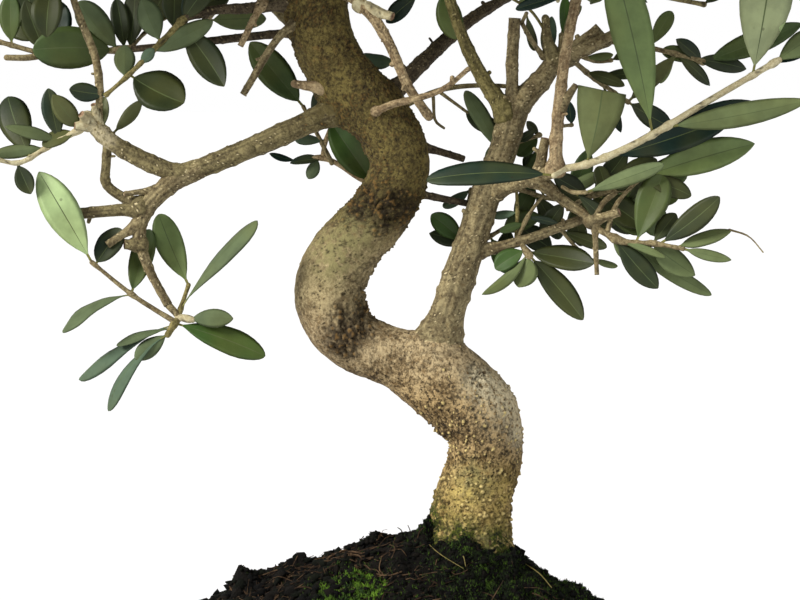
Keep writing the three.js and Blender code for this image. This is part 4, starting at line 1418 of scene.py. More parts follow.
@dataclass(frozen=True)
class Blade:
    """The mesh of a leaf: where its rows stand along it, and its columns from edge to edge."""

    rows: tuple[float, ...]
    columns: tuple[float, ...]
    stalk: float = 0.09
    thickness: float = 0.3
    stalk_width: float = 0.55
    tip_width: float = 0.25

    DROOPING_BASE, DROOPING_TIP = 1.2, 0.56
    LEAST_BEND = 0.02

    def faces(self) -> Array:
        """The faces of a leaf.

        Returns:
            The four corners of each, upper side first.
        """
        rows, columns = len(self.rows), len(self.columns)
        upper = np.arange(rows * columns).reshape(rows, columns)
        under = upper.copy()
        under[1:-1, 1:-1] = upper.size + np.arange((rows - 2) * (columns - 2)).reshape(rows - 2, columns - 2)
        quads = []
        for grid, order in ((upper, (0, 1, 2, 3)), (under, (3, 2, 1, 0))):
            around = (grid[:-1, :-1], grid[1:, :-1], grid[1:, 1:], grid[:-1, 1:])
            quads.append(np.stack([around[k] for k in order], axis=-1).reshape(-1, 4))
        return np.vstack(quads)

    def slots(self, tint: Tint) -> Array:
        """The finishes of a leaf's stalk, rib and two sides.

        Args:
            tint: The leaf's tint.

        Returns:
            Each face's material slot.
        """
        rows, columns = len(self.rows) - 1, len(self.columns) - 1
        sides = []
        for slot in tint.slots:
            side = np.full((rows, columns), slot)
            side[:, columns // 2] = RIB_SLOT
            side[np.array(self.rows[1:]) <= self.stalk + 1e-6] = STALK_SLOT
            sides.append(side.ravel())
        return np.concatenate(sides)

    def mesh(self, name: str, leaves: Sequence[Leaf], seed: int) -> bpy.types.Mesh:
        """One mesh of many leaves, each a little different.

        Args:
            name: The mesh's name.
            leaves: The leaves.
            seed: The seed of their small differences.

        Returns:
            The mesh, each leaf a closed blade.
        """
        dealer = np.random.default_rng(seed)
        count = len(leaves)

        def dealt(low: float, high: float) -> Array:
            """One number for each leaf, shaped to be reckoned with its rows and columns."""
            return dealer.uniform(low, high, count)[:, None, None]

        t, u = np.array(self.rows)[None, :, None], np.array(self.columns)[None, None, :]
        shapes = np.array([(leaf.length, leaf.width / 2, leaf.eaten) for leaf in leaves])
        length, half, left = shapes.T[..., None, None]
        bends = dealer.uniform(-0.75, 0.55, count)
        bends = np.array([b if leaf.bend is None else leaf.bend for b, leaf in zip(bends, leaves)])
        bend = np.where(np.abs(bends) < self.LEAST_BEND, self.LEAST_BEND, bends)[:, None, None]
        run = np.clip((t - self.stalk) / (1 - self.stalk), 0, 1) * left
        drooping = np.array([leaf.bend is not None for leaf in leaves])[:, None, None]
        base = np.where(drooping, self.DROOPING_BASE, dealt(0.64, 0.92))
        tip = np.where(drooping, self.DROOPING_TIP, dealt(0.5, 0.8))
        widest = base / (base + tip)
        outline = run**base * (1 - run) ** tip / (widest**base * (1 - widest) ** tip)
        wide = np.maximum(half * outline, np.where(run > 0.5, self.tip_width, self.stalk_width))
        turn = bend * (t - 0.5)
        spine = length * (np.sin(turn) + np.sin(bend / 2)) / bend
        lift = length * (np.cos(bend / 2) - np.cos(turn)) / bend
        fold, roll = dealt(0.04, 0.34), dealt(-0.05, 0.16)
        wave = dealt(0.0, 0.06) * np.sin(2 * math.pi * (dealt(1.2, 2.6) * t + dealt(0, 1)))
        twist = dealt(-0.3, 0.3) * (t - 0.4)
        raised = wide * (fold * np.abs(u) - roll * u**2 + wave * u + twist * u)
        under = raised - self.thickness * (1 - 0.5 * np.abs(u))
        side = wide * u + dealt(-0.05, 0.05) * length * (t - t * t) * 2
        along, face = (np.array([getattr(leaf, way) for leaf in leaves]) for way in ("along", "face"))
        across = np.cross(face, along)
        root = np.array([leaf.root for leaf in leaves])

        def placed(heights: Array) -> Array:
            """One side of every leaf.

            Args:
                heights: How far it is raised from the leaf's bent middle.

            Returns:
                The places.
            """
            x = spine - np.sin(turn) * heights
            z = lift + np.cos(turn) * heights
            ways = zip((x, np.broadcast_to(side, x.shape), z), (along, across, face))
            return root[:, None, None] + sum(size[..., None] * way[:, None, None] for size, way in ways)

        tops, bottoms = placed(raised), placed(under)[:, 1:-1, 1:-1]
        places = np.concatenate((tops.reshape(count, -1, 3), bottoms.reshape(count, -1, 3)), axis=1)
        return joined(name, places, self.faces(), np.concatenate([self.slots(leaf.tint) for leaf in leaves]))


NEAR_BLADE = Blade(
    (0, 0.045, 0.09, 0.13, 0.19, 0.27, 0.36, 0.46, 0.56, 0.66, 0.75, 0.83, 0.9, 0.955, 0.985, 1),
    (-1, -0.68, -0.34, -0.03, 0.03, 0.34, 0.68, 1),
)
FAR_BLADE = Blade((0, 0.09, 0.18, 0.34, 0.54, 0.74, 0.9, 1), (-1, -0.5, -0.05, 0.05, 0.5, 1))


@dataclass
class Shoot:
    """A twig: its centre line, its diameter at both ends, where its leaves stand and its bark."""

    course: Course
    base: float
    tip: float
    knots: list[float]
    bark: BarkKind = BarkKind.PALE

    SIDES = 8
    SPACING = 1.6
    KNOT_SWELL, KNOT_LENGTH = 0.28, 1.5
    RELIEF = Relief(0.12, 0.08, 0.06)
    PORES = Dots(4.0, 0.5, 0.08, 0.7, 0.3)

    def grow(self, mesh: BarkMesh, seed: int, fine: bool) -> None:
        """Adds the twig to a mesh, swollen where its leaves stand.

        Args:
            mesh: The mesh of bark.
            seed: The seed of its bark.
            fine: Whether it is near enough to show its bark.
        """
        spacing = self.SPACING if fine else 3 * self.SPACING
        rings = max(5, int(self.course.length / spacing))
        far = np.linspace(0, 1, rings)
        radii = mix(self.base, self.tip, far) / 2
        for knot in self.knots:
            apart = (far - knot) * self.course.length / self.KNOT_LENGTH
            radii = radii * (1 + self.KNOT_SWELL * np.exp(-(apart**2)))
        skin = Skin.along(self.course, far, radii, self.SIDES if fine else self.SIDES - 2, Ends.ROUND)
        if fine:
            self.RELIEF.carve(skin, seed)
            self.PORES.deal(skin, seed)
        mesh.tube(skin, self.bark.slot, False)


@dataclass
class Growth:
    """The twigs and leaves of a spray."""

    shoots: list[Shoot] = field(default_factory=list)
    leaves: list[Leaf] = field(default_factory=list)


# A leaf's share along its twig, angle in the front view, length seen and width, and for some tilt, droop and what
# is left of an eaten one.
LeafPlace = tuple[Optional[float], ...]


@dataclass(frozen=True)
class Twig:
    """A twig of a spray, with its leaves and a letter for the tint of each."""

    line: Line
    base: float
    tip: float
    leaves: tuple[LeafPlace, ...] = ()
    tints: str = ""
    bark: BarkKind = BarkKind.TAN


@dataclass(frozen=True)
class Spray:
    """A spray that shows against the sky in the front view."""

    seed: int
    twigs: tuple[Twig, ...]

    VIEWER = np.array((0.0, -1.0, 0.35))
    LEAN = 44.0
    JITTER = 0.55
    CALM = 0.6
    DROOP_FACING = 0.62

    def grow(self) -> Growth:
        """Grows the spray. A capital turns a leaf's under side to the viewer.

        Returns:
            Its twigs and leaves.
        """
        dice = Dice(self.seed)
        grown = Growth()
        for twig in self.twigs:
            course = Course.through(twig.line)
            grown.shoots.append(Shoot(course, twig.base, twig.tip, [leaf[0] for leaf in twig.leaves], twig.bark))
            for (share, clock, seen, width, *more), letter in zip(twig.leaves, twig.tints):
                lean = math.radians(more[0] if more else (dice() - 0.5) * self.LEAN)
                turn, flat = math.radians(clock), math.cos(lean)
                along = np.array((math.cos(turn) * flat, math.sin(lean), math.sin(turn) * flat))
                facing = self.VIEWER + self.CALM * dice.jitter(self.JITTER)
                facing = -facing if letter.isupper() else facing
                bend = None
                if len(more) > 1 and more[1] is not None:
                    hand = math.copysign(1, math.cos(turn))
                    upward = np.array((-math.sin(turn) * hand, 0, math.cos(turn) * hand))
                    facing = upward * (1 if letter.islower() else -1) + self.DROOP_FACING * facing
                    bend = -more[1] if letter.islower() else more[1]
                    width = width / self.DROOP_FACING
                root = course.at(share)
                left = more[2] if len(more) > 2 else 1.0
                grown.leaves.append(Leaf.facing(root, along, facing, seen / flat, width, Tint.of(letter), bend, left))
        return grown


SPRAYS_LEFT = {
    "foliage_left_hanging": Spray(11, (
        Twig(((-101, -16, 192), (-97, -16, 187), (-98, -17, 184)), 3.2, 2.6),
        Twig(((-98, -17, 185), (-115, -19, 196), (-132, -21, 210)), 2.3, 1.6, (
            (0.5, -152, 34, 8, 0, 0.9), (0.51, 76, 27, 10, 30), (1, 121, 44, 15, 8), (0.96, 56, 18, 11, 20),
        ), "Dgst"),
        Twig(((-98, -17, 185), (-101, -19, 180)), 2.4, 1.8, (
            (0.23, -150, 47, 7.5, 6, 0.6), (0.5, -163, 24, 4.5, -4, 0.4), (1, -128, 41, 6.5, -8, 0.9),
            (0.9, -143, 17, 8), (0.1, -20, 40, 13, 0),
        ), "TDTDv", GREEN),
        Twig(((-97, -16, 187), (-93, -11, 200)), 2.2, 1.6, (
            (0.25, 49, 49, 9.5, 0, 0.35), (1, 114, 32, 12, 15),
        ), "Db", GREEN),
        Twig(((-97, -16, 187), (-91, -17, 186)), 3, 2.6, ((0.7, 1, 19, 8),), "D", PALE),
    )),
    "foliage_left_outer": Spray(12, (
        Twig(((-133, -15, 267), (-151, -18, 257), (-162, -20, 251), (-173, -22, 253)), 2.8, 1.6, (
            (0.1, 128, 18, 9), (0.14, -157, 15, 8), (0.32, 102, 22, 9), (0.32, 165, 23, 6), (0.46, -173, 24, 6),
            (0.63, 113, 28, 14, 25), (0.76, -66, 14, 8), (0.93, 156, 23, 13), (1, -139, 20, 11), (1, -170, 22, 11),
        ), "ootDDddgtd", PALE),
        Twig(((-124, -14, 260), (-124, -10, 263)), 1.8, 1.5, ((1, 50, 18, 6),), "o"),
    )),
    "foliage_upper_left": Spray(13, (
        Twig(((-119, 10, 298), (-135, 10, 297), (-152, 9, 296), (-173, 8, 301), (-186, 8, 304)), 2.8, 1.6, (
            (0.08, 180, 34, 18, -20), (0.06, 129, 26, 13), (0.26, 77, 20, 11), (0.47, 87, 23, 14),
            (0.51, 111, 24, 11), (0.73, 92, 22, 10), (0.81, -149, 20, 11), (1, 149, 20, 13), (1, -167, 20, 11),
            (0.03, 100, 22, 8, 15), (0, 85, 25, 11, 10),
        ), "gDdtdgdgddd"),
        Twig(((-152, 9, 296), (-162, 7, 294.5), (-170, 6, 294.5)), 2.8, 2.6),
        Twig(((-140, -19, 326), (-148, -16, 324)), 2, 1.6, ((1, -95, 22, 13),), "d"),
        Twig(((-119, 10, 298), (-112, 17, 306), (-104, 19, 312)), 2, 1.5, (
            (0.5, 62, 26, 13), (1, 96, 24, 12), (1, 20, 28, 12),
        ), "ddd"),
        Twig(((-152, 9, 296), (-156, 16, 303), (-158, 18, 308)), 2, 1.5, (
            (1, 112, 24, 13), (1, 60, 24, 12), (0.5, 150, 22, 12),
        ), "dod"),
    )),
    "foliage_top_left": Spray(14, (
        Twig(((-93, -12, 311), (-104, -14, 300), (-117, -15, 287), (-126, -16, 279)), 2.8, 1.5, (
            (0.06, 52, 22, 10), (0.09, -54, 32, 13), (0.17, 90, 18, 11), (0.33, 114, 20, 11), (0.46, 27, 29, 9),
            (0.73, -27, 26, 20), (0.78, 90, 14, 9), (1, 172, 15, 8), (1, -106, 14, 8), (0.05, 81, 12, 4),
            (0.6, 47, 9, 5),
        ), "dddDDdDtotT", GREEN),
        Twig(((-82, -9, 313), (-85, 2, 310)), 2, 1.6, ((1, 2, 24, 12, 8),), "G"),
    )),
    "foliage_trunk_back": Spray(15, (
        Twig(((-12, 6, 240), (-21, 18, 243), (-37, 21, 252), (-49, 22, 251)), 2.6, 2.2, (
            (0.15, 125, 33, 14, 5), (0.74, -172, 15, 5), (0.8, -115, 10, 6), (0.1, -120, 14, 5), (1, 165, 12, 4),
        ), "vtTDt", ROSY),
        Twig(((-34, 20, 250), (-46, 18, 274)), 2, 1.5, ((1, 130, 36, 14), (0.7, 62, 22, 10)), "gd"),
        Twig(((-38, 21, 252.5), (-37, 20, 258), (-35, 19, 264)), 2, 1.8, ((0.6, 178, 13, 5),), "T", ROSY),
    )),
}
SPRAYS_RIGHT = {
    "foliage_right_long": Spray(16, (
        Twig(((59, -20, 248), (73, -24, 251), (95, -28, 261), (120, -30, 276), (149, -32, 293)), 3.1, 2.5, (
            (0.13, 79, 31, 20, -12, None, 0.66), (0.42, 104, 74, 17, -10), (0.21, 18, 59, 13, 12),
            (0.48, 11, 58, 10, -13), (0.5, 10, 42, 8, 15), (0.88, 82, 52, 22, -10), (0.98, 31, 24, 11),
            (0.97, 24, 19, 5, 12),
        ), "ObtGtSGt", PALE),
        Twig(((64, -21, 249), (58, -28, 246)), 2.6, 2, ((1, -178, 53, 12, 2),), "t", PALE),
        Twig(((60.5, -22, 266), (66, -14, 266.5)), 1.8, 1.5, ((1, 98, 10, 5),), "t"),
    )),
    "foliage_right_drop": Spray(17, (
        Twig(((76, -23, 224), (86, -26, 219), (100, -27, 218), (111, -28, 216)), 2.8, 1.6, (
            (0.47, 68, 30, 14), (0.73, 40, 31, 10), (0.92, 17, 24, 7, 3), (1, -13, 20, 5), (0.32, -31, 44, 7),
            (0.64, -36, 23, 11), (0.23, -49, 27, 10), (0.66, 50, 16, 8, 25), (0.26, -20, 21, 3.5, -12),
            (0.2, -62, 10, 2.5),
        ), "gdGGGGddGG"),
        Twig(((80, -24, 222), (84, -22, 234), (94, -22, 245)), 2.4, 1.6, (
            (1, 16, 50, 14, 12), (1, -20, 22, 9), (1, 27, 20, 6, 28),
        ), "bdd"),
        Twig(((130, -26.6, 223.8), (138, -26.5, 221), (144, -26.5, 214.5)), 0.9, 0.5),
    )),
    "foliage_right_low": Spray(18, (
        Twig(((45, -3, 218), (49, -7, 212)), 2.4, 1.8, (
            (1, -50, 35, 11), (0.72, -9, 28, 12, -20), (1, -110, 14, 11), (0.6, -148, 15, 9),
            (0.85, -140, 26, 6, -25),
        ), "ddGvG"),
        Twig(((43.7, -1, 219), (44.2, -1, 230), (43.7, -2, 239)), 1.6, 1.3, ((0.55, -171, 11, 4),), "T", GREEN),
        Twig(((44, -2, 219), (49, -2, 229), (54, -3, 236)), 1.8, 1.5, (
            (0.35, -161, 11, 4), (0.5, -12, 13, 3.5),
        ), "gt"),
        Twig(((62, -6, 223), (68, -4, 216), (74, -3, 211)), 1.8, 1.5, ((0.05, -20, 20, 6), (1, -17, 13, 3.5)), "dG"),
    )),
    "foliage_right_bud": Spray(19, (
        Twig(((26, 4, 214), (22, 9, 217)), 2.2, 1.6, ((1, 140, 18, 9, 5), (0.8, 165, 16, 8, 10)), "vd"),
        Twig(((27, 4, 216), (36, 10, 221), (43, 12, 225)), 2, 1.5, (
            (0.4, -62, 18, 9), (0.7, 20, 18, 9), (1, -35, 20, 10), (1, 62, 18, 8), (0.9, -100, 16, 8),
        ), "vgdgd"),
        Twig(((24, 8, 234), (25, 14, 239)), 1.8, 1.5, ((1, -148, 14, 5),), "T"),
    )),
    "foliage_right_bend": Spray(20, (
        Twig(((36, 4, 250), (40, 10, 256), (39, 14, 263)), 2.2, 1.6, (
            (0.3, 120, 32, 8, 10), (1, 153, 18, 8, 8), (0.9, -125, 14, 6),
        ), "Ddg"),
        Twig(((40, 4, 258), (48, 10, 260), (54, 14, 262)), 2, 1.6, (
            (1, -137, 13, 8), (1, 133, 8, 4), (0.3, 34, 9, 4),
        ), "gdt"),
        Twig(((-8, 8, 272), (12, 14, 281), (30, 16, 283), (47, 17, 282)), 2.6, 1.8, bark=OLIVE),
        Twig(((12, 14, 280), (23.5, 14, 271.5)), 1.6, 1.3, bark=OLIVE),
        Twig(((9, 13, 278), (10, 11, 268), (13.5, 10, 265)), 1.4, 1.2, bark=OLIVE),
        Twig(((0, 13, 288), (-6, 15, 293)), 1.8, 1.5, ((1, 173, 18, 9),), "T"),
        Twig(((15, -3, 324), (8, 5, 323), (3, 9, 321)), 1.8, 1.5, ((1, -140, 18, 8),), "t"),
        Twig(((15, -3, 322), (13, 3, 323)), 1.8, 1.5, ((1, -75, 22, 11),), "g"),
    )),
    "foliage_right_back": Spray(23, (
        Twig(((66, 10, 295), (76, 18, 287), (92, 22, 276)), 2.6, 1.6, (
            (0.35, -20, 17, 5.5), (0.5, 5, 23, 6), (0.62, -68, 22, 5), (1, 45, 27, 7), (1, -30, 22, 10),
            (0.8, -120, 20, 10),
        ), "dttotd"),
        Twig(((70, 11, 296), (78, 12, 293), (84, 12, 293.5)), 2, 1.6, ((0.2, 4, 12, 4), (1, 20, 11, 5)), "Gd"),
        Twig(((62, 9, 296), (63, 11, 304)), 2, 1.6, ((1, 84, 17, 5), (0.9, 58, 16, 4)), "vo"),
        Twig(((46, 5, 309), (48, 6, 313)), 1.6, 1.3, ((1, -76, 16, 5),), "o"),
        Twig(((57, 8, 290), (57, 13, 294)), 1.8, 1.5, ((1, 84, 18, 7),), "T"),
        Twig(((57, 9, 304), (50, 6, 314), (42, 4, 319)), 1.5, 1.2, bark=GREEN),
        Twig(((67, -24, 319), (66, -16, 320.5)), 1.8, 1.5, ((1, -165, 24, 6),), "t"),
    )),
    "foliage_right_mid": Spray(24, (
        Twig(((66, -20, 233), (72, -10, 236), (80, -6, 238), (95, -3, 240)), 2.4, 1.6, (
            (0.5, -35, 24, 12), (0.65, 35, 24, 11), (1, -65, 22, 12), (0.4, 150, 18, 9), (1, 20, 22, 10),
            (0.7, -110, 18, 10),
        ), "ddgdgd"),
        Twig(((62, -20, 241), (66, -24, 239), (71, -26, 239)), 1.8, 1.5, (
            (1, 20, 34, 7, -4), (0.6, -42, 20, 7),
        ), "Bd"),
        Twig(((34, 4, 243), (46, 10, 239), (60, 13, 235), (76, 13, 237)), 2.2, 1.6, (
            (0.2, -150, 16, 8), (0.3, 60, 20, 8), (0.45, -60, 22, 9), (0.55, 110, 20, 9), (0.65, -20, 24, 9),
            (0.8, 70, 22, 9), (0.9, -100, 20, 9), (1, 10, 26, 10), (1, -45, 24, 10), (1, 50, 24, 9),
        ), "dgddtgdgdd"),
        Twig(((70, -9, 227), (78, -6, 231), (89, -4, 233)), 2, 1.5, (
            (0.3, 65, 18, 7), (0.5, -28, 20, 8), (0.7, 105, 18, 8), (1, 8, 22, 9), (1, 48, 20, 8),
        ), "dgdgd"),
        Twig(((54, -13, 246), (60, -4, 240), (67, 0, 231)), 2, 1.5, (
            (0.5, -35, 18, 7, 10), (0.8, -125, 17, 8), (1, -15, 20, 9), (1, -75, 16, 7), (0.6, 25, 20, 6),
        ), "ddgdG"),
    )),
    "foliage_right_upper": Spray(21, (
        Twig(((82, 13, 302), (105, 20, 298), (124, 24, 293)), 2.8, 1.8, (
            (0.45, 59, 18, 7), (1, 140, 15, 7), (0.97, 165, 17, 7), (0.72, -42, 20, 6), (0.7, -116, 14, 4),
            (1, 21, 46, 11, 5), (0.9, -10, 24, 8, 12),
        ), "gtgdGgd"),
        Twig(((68, -25, 330), (84, -20, 325), (100, -18, 320), (120, -16, 316)), 2.6, 2, (
            (1, 35, 12, 5),
        ), "d", OLIVE),
    )),
}


@dataclass(frozen=True)
class CrownMass:
    """A mass of the crown: its limb, the middle and half sizes of its space, its shoots and its seed."""

    limb: str
    middle: Place
    half: Place
    shoots: int
    seed: int

    STEM_WIDTH, SHOOT_WIDTH, FINE_WIDTH, TIP_WIDTH = 3.4, 2.4, 1.7, 1.5
    STEM_PAST_MIDDLE = 0.45
    STEM_BOW, SHOOT_BOW = 4.0, 0.1
    FIRST_SHOOT, LAST_SHOOT = 0.3, 0.92
    FINE_TWIGS, FIRST_TWIG, LAST_TWIG = 5, 0.3, 0.95
    BARE, STEM_BARE, FINE_BARE = 0.28, 0.6, 0.3
    PAIR_SPACING = 10.0
    LEAF_LENGTH, FINE_LEAF_LENGTH, SHORTEST_LEAF = 37.0, 31.0, 20.0
    LEAF_WIDTH_SHARE = 0.35
    LEAF_ROOM, SECOND_TRY = 0.96, 0.72
    LEAF_CLEARANCE, BORDER = 1.2, 0.5
    CROWN_MIDDLE = np.array((-20.0, 0.0, 325.0))
    LIGHT = np.array((0.0, 0.0, 0.8))
    TINTS = "ddddggggtovb"

    def reach(self, place: Array, way: Array) -> float:
        """How far a ray runs before it leaves the mass's oval.

        Args:
            place: Where it starts.
            way: Its direction.

        Returns:
            The distance.
        """
        p = (place - np.array(self.middle)) / self.half
        d = way / np.array(self.half)
        a, b, c = d @ d, p @ d, p @ p - 1
        return (-b + math.sqrt(max(0.0, b * b - a * c))) / a

    def owns(self, places: Array) -> bool:
        """Whether places belong to the mass.

        Args:
            places: The places.

        Returns:
            Whether all are in its oval, and on its side of every neighbour's.
        """
        middle = np.array(self.middle, float)
        if np.any(np.sum(((places - middle) / self.half) ** 2, axis=-1) > 1):
            return False
        for other in MASSES.values():
            if other is self:
                continue
            between = np.array(other.middle) - middle
            apart = float(np.linalg.norm(between))
            between = between / apart
            mine, theirs = self.reach(middle, between), other.reach(np.array(other.middle), between)
            if np.any((places - middle) @ between > apart * mine / (mine + theirs) - self.BORDER):
                return False
        return True

    def _shoots(self, start: Array, dice: Dice) -> list[Shoot]:
        """A stem through the mass's middle, and side shoots wound round it.

        Args:
            start: Where the stem starts.
            dice: Deals them.

        Returns:
            The stem, then its shoots.
        """
        middle = np.array(self.middle, float)
        end = middle + unit(middle - start) * self.STEM_PAST_MIDDLE * min(self.half)
        stem = Course.bowed(start, (start + end) / 2 + (0, 0, self.STEM_BOW), end)
        shoots = [Shoot(stem, self.STEM_WIDTH, self.TIP_WIDTH, [])]
        for i in range(self.shoots):
            share = mix(self.FIRST_SHOOT, self.LAST_SHOOT, (i + 0.5) / self.shoots)
            around = i * GOLDEN_ANGLE + (dice() - 0.5) * 0.6
            rise = math.radians(mix(2, 48, share) + (dice() - 0.5) * 24)
            length = mix(0.34, 0.56, dice())
            shoots.append(self._side_shoot(stem, share, around, rise, length, self.SHOOT_WIDTH))
        return shoots

    def _side_shoot(
        self, stem: Course, share: float, around: float, rise: float, length: float, width: float
    ) -> Shoot:
        """A shoot that stands on another.

        Args:
            stem: The course that it stands on.
            share: How far along that.
            around: The angle round it.
            rise: The angle that it leans forward.
            length: The share of the way to the edge of the space that it runs.
            width: Its diameter.

        Returns:
            The shoot.
        """
        start, way = stem.at(share), stem.way(share)
        heading = beside(way, around) * math.cos(rise) + way * math.sin(rise)
        size = self.reach(start, heading) * length
        end = start + heading * size
        course = Course.bowed(start, (start + end) / 2 + (0, 0, self.SHOOT_BOW * size), end)
        return Shoot(course, width, min(width, self.TIP_WIDTH), [])

    def _leaves(self, shoot: Shoot, bare: float, size: float, dice: Dice) -> list[Leaf]:
        """Pairs of leaves, each crosswise to the pair before.

        Args:
            shoot: The shoot that they stand on.
            bare: The share of it that has none.
            size: Their usual length.
            dice: Deals them.

        Returns:
            The leaves.
        """
        leaves = []
        pairs = max(1, math.floor(shoot.course.length * (1 - bare) / self.PAIR_SPACING + 0.5))
        first_turn = dice() * math.pi
        for k in range(1, pairs + 1):
            share = bare + (1 - bare) * k / pairs
            root, way = shoot.course.at(share), shoot.course.way(share)
            side = beside(way, first_turn + k * math.pi / 2 + (dice() - 0.5) * 0.7)
            shoot.knots.append(share)
            for hand in (-1, 1):
                spread = math.radians(mix(66, 36, share) + (dice() - 0.5) * 24)
                along = unit(way * math.cos(spread) + side * hand * math.sin(spread))
                facing = unit(root - self.CROWN_MIDDLE) + self.LIGHT + way * 0.3 + dice.jitter(0.5)
                length = size * mix(0.78, 1.16, dice())
                width = length * self.LEAF_WIDTH_SHARE * mix(0.85, 1.15, dice())
                leaves.append(Leaf.facing(root, along, facing, length, width, Tint.GREEN))
        return leaves

    def _keep(self, grown: Growth, shoot: Shoot, leaves: Sequence[Leaf], timber: Timber, stem: bool) -> bool:
        """Keeps a shoot and those of its leaves that stay in the space and clear of the limbs.

        Args:
            grown: What is kept so far.
            shoot: The shoot.
            leaves: Its leaves.
            timber: The limbs.
            stem: Whether it is the stem, which always stays.

        Returns:
            Whether the shoot was kept.
        """
        places = shoot.course.at(np.array((0.35, 0.7, 1.0)))
        if not stem and not (self.owns(places) and timber.clear(places, self.LEAF_CLEARANCE)):
            return False
        grown.shoots.append(shoot)
        for leaf in leaves:
            room = self.LEAF_ROOM * self.reach(leaf.root, leaf.along)
            if room < self.SHORTEST_LEAF:
                continue
            room = min(leaf.length, room)
            for length in (room, self.SECOND_TRY * room):
                leaf.width *= min(1, length / leaf.length)
                leaf.length = min(leaf.length, length)
                corners = leaf.corners()
                if self.owns(corners) and timber.clear(corners, self.LEAF_CLEARANCE):
                    grown.leaves.append(leaf)
                    break
        return True

    def grow(self, timber: Timber) -> Growth:
        """The mass's twigs and leaves, then finer twigs on its shoots.

        Args:
            timber: The limbs, which the twigs and leaves keep clear of.

        Returns:
            What has grown.
        """
        dice, fine_dice = Dice(self.seed), Dice(self.seed + 100)
        line = Trunk().line if self.limb == "trunk" else BOUGHS[self.limb].line
        grown = Growth()
        for number, shoot in enumerate(self._shoots(np.array(line[-1], float), dice)):
            bare = self.BARE if number else self.STEM_BARE
            leaves = self._leaves(shoot, bare, self.LEAF_LENGTH, dice)
            if self._keep(grown, shoot, leaves, timber, not number) and number:
                self._finer(grown, shoot, timber, fine_dice)
        for leaf in grown.leaves:
            leaf.tint = Tint.of(self.TINTS[int(fine_dice() * len(self.TINTS))])
        return grown

    def _finer(self, grown: Growth, shoot: Shoot, timber: Timber, dice: Dice) -> None:
        """Adds finer twigs with smaller leaves to a shoot.

        Args:
            grown: What is kept so far.
            shoot: The shoot.
            timber: The limbs.
            dice: Deals them.
        """
        first_turn = dice() * math.pi
        for number in range(self.FINE_TWIGS):
            share = mix(self.FIRST_TWIG, self.LAST_TWIG, (number + dice()) / self.FINE_TWIGS)
            around = first_turn + number * GOLDEN_ANGLE
            rise = math.radians(mix(15, 45, dice()))
            twig = self._side_shoot(shoot.course, share, around, rise, mix(0.4, 0.86, dice()), self.FINE_WIDTH)
            leaves = self._leaves(twig, self.FINE_BARE, self.FINE_LEAF_LENGTH, dice)
            self._keep(grown, twig, leaves, timber, False)


MASSES_FRONT = {
    "foliage_crown_front": CrownMass("bough_crown_front", (-24, -82, 380), (62, 54, 46), 8, 32),
    "foliage_left_high": CrownMass("bough_left_riser", (-152, -38, 368), (52, 52, 44), 7, 38),
    "foliage_right_high": CrownMass("bough_right_riser", (96, -44, 372), (58, 54, 44), 7, 39),
    "foliage_right_crown": CrownMass("bough_right_inner", (30, -36, 372), (48, 50, 44), 8, 40),
}
MASSES_TOP = {
    "foliage_apex": CrownMass("trunk", (-4, -2, 410), (62, 60, 50), 10, 31),
    "foliage_crown_left": CrownMass("bough_crown_left", (-108, -4, 390), (58, 56, 48), 8, 34),
    "foliage_crown_right": CrownMass("bough_crown_right", (64, 26, 392), (58, 56, 48), 9, 35),
}
MASSES_BACK = {
    "foliage_crown_back": CrownMass("bough_crown_back", (-22, 88, 374), (64, 54, 48), 8, 33),
    "foliage_back_left": CrownMass("bough_back_left", (-104, 76, 358), (58, 52, 46), 7, 36),
    "foliage_back_right": CrownMass("bough_back_right", (72, 80, 356), (58, 52, 46), 7, 37),
}
MASSES = {**MASSES_FRONT, **MASSES_TOP, **MASSES_BACK}


@dataclass
class Foliage:
    """The leaves and the twigs of one side, each kind in one piece."""

    name: str
    nodes: Sequence[str]
    growths: Sequence[Growth]
    blade: Blade
    seed: int

    def build(self) -> None:
        """Makes the leaves and the twigs, and shows them."""
        leaves = [leaf for grown in self.growths for leaf in grown.leaves]
        show(self.blade.mesh(f"leaves_{self.name}", leaves, self.seed), LEAF_FINISHES, self.nodes)
        mesh = BarkMesh(f"twigs_{self.name}")
        for number, shoot in enumerate(shoot for grown in self.growths for shoot in grown.shoots):
            shoot.grow(mesh, self.seed * 1000 + number, self.blade is NEAR_BLADE)
        show(mesh.done(), BARK_FINISHES, self.nodes)


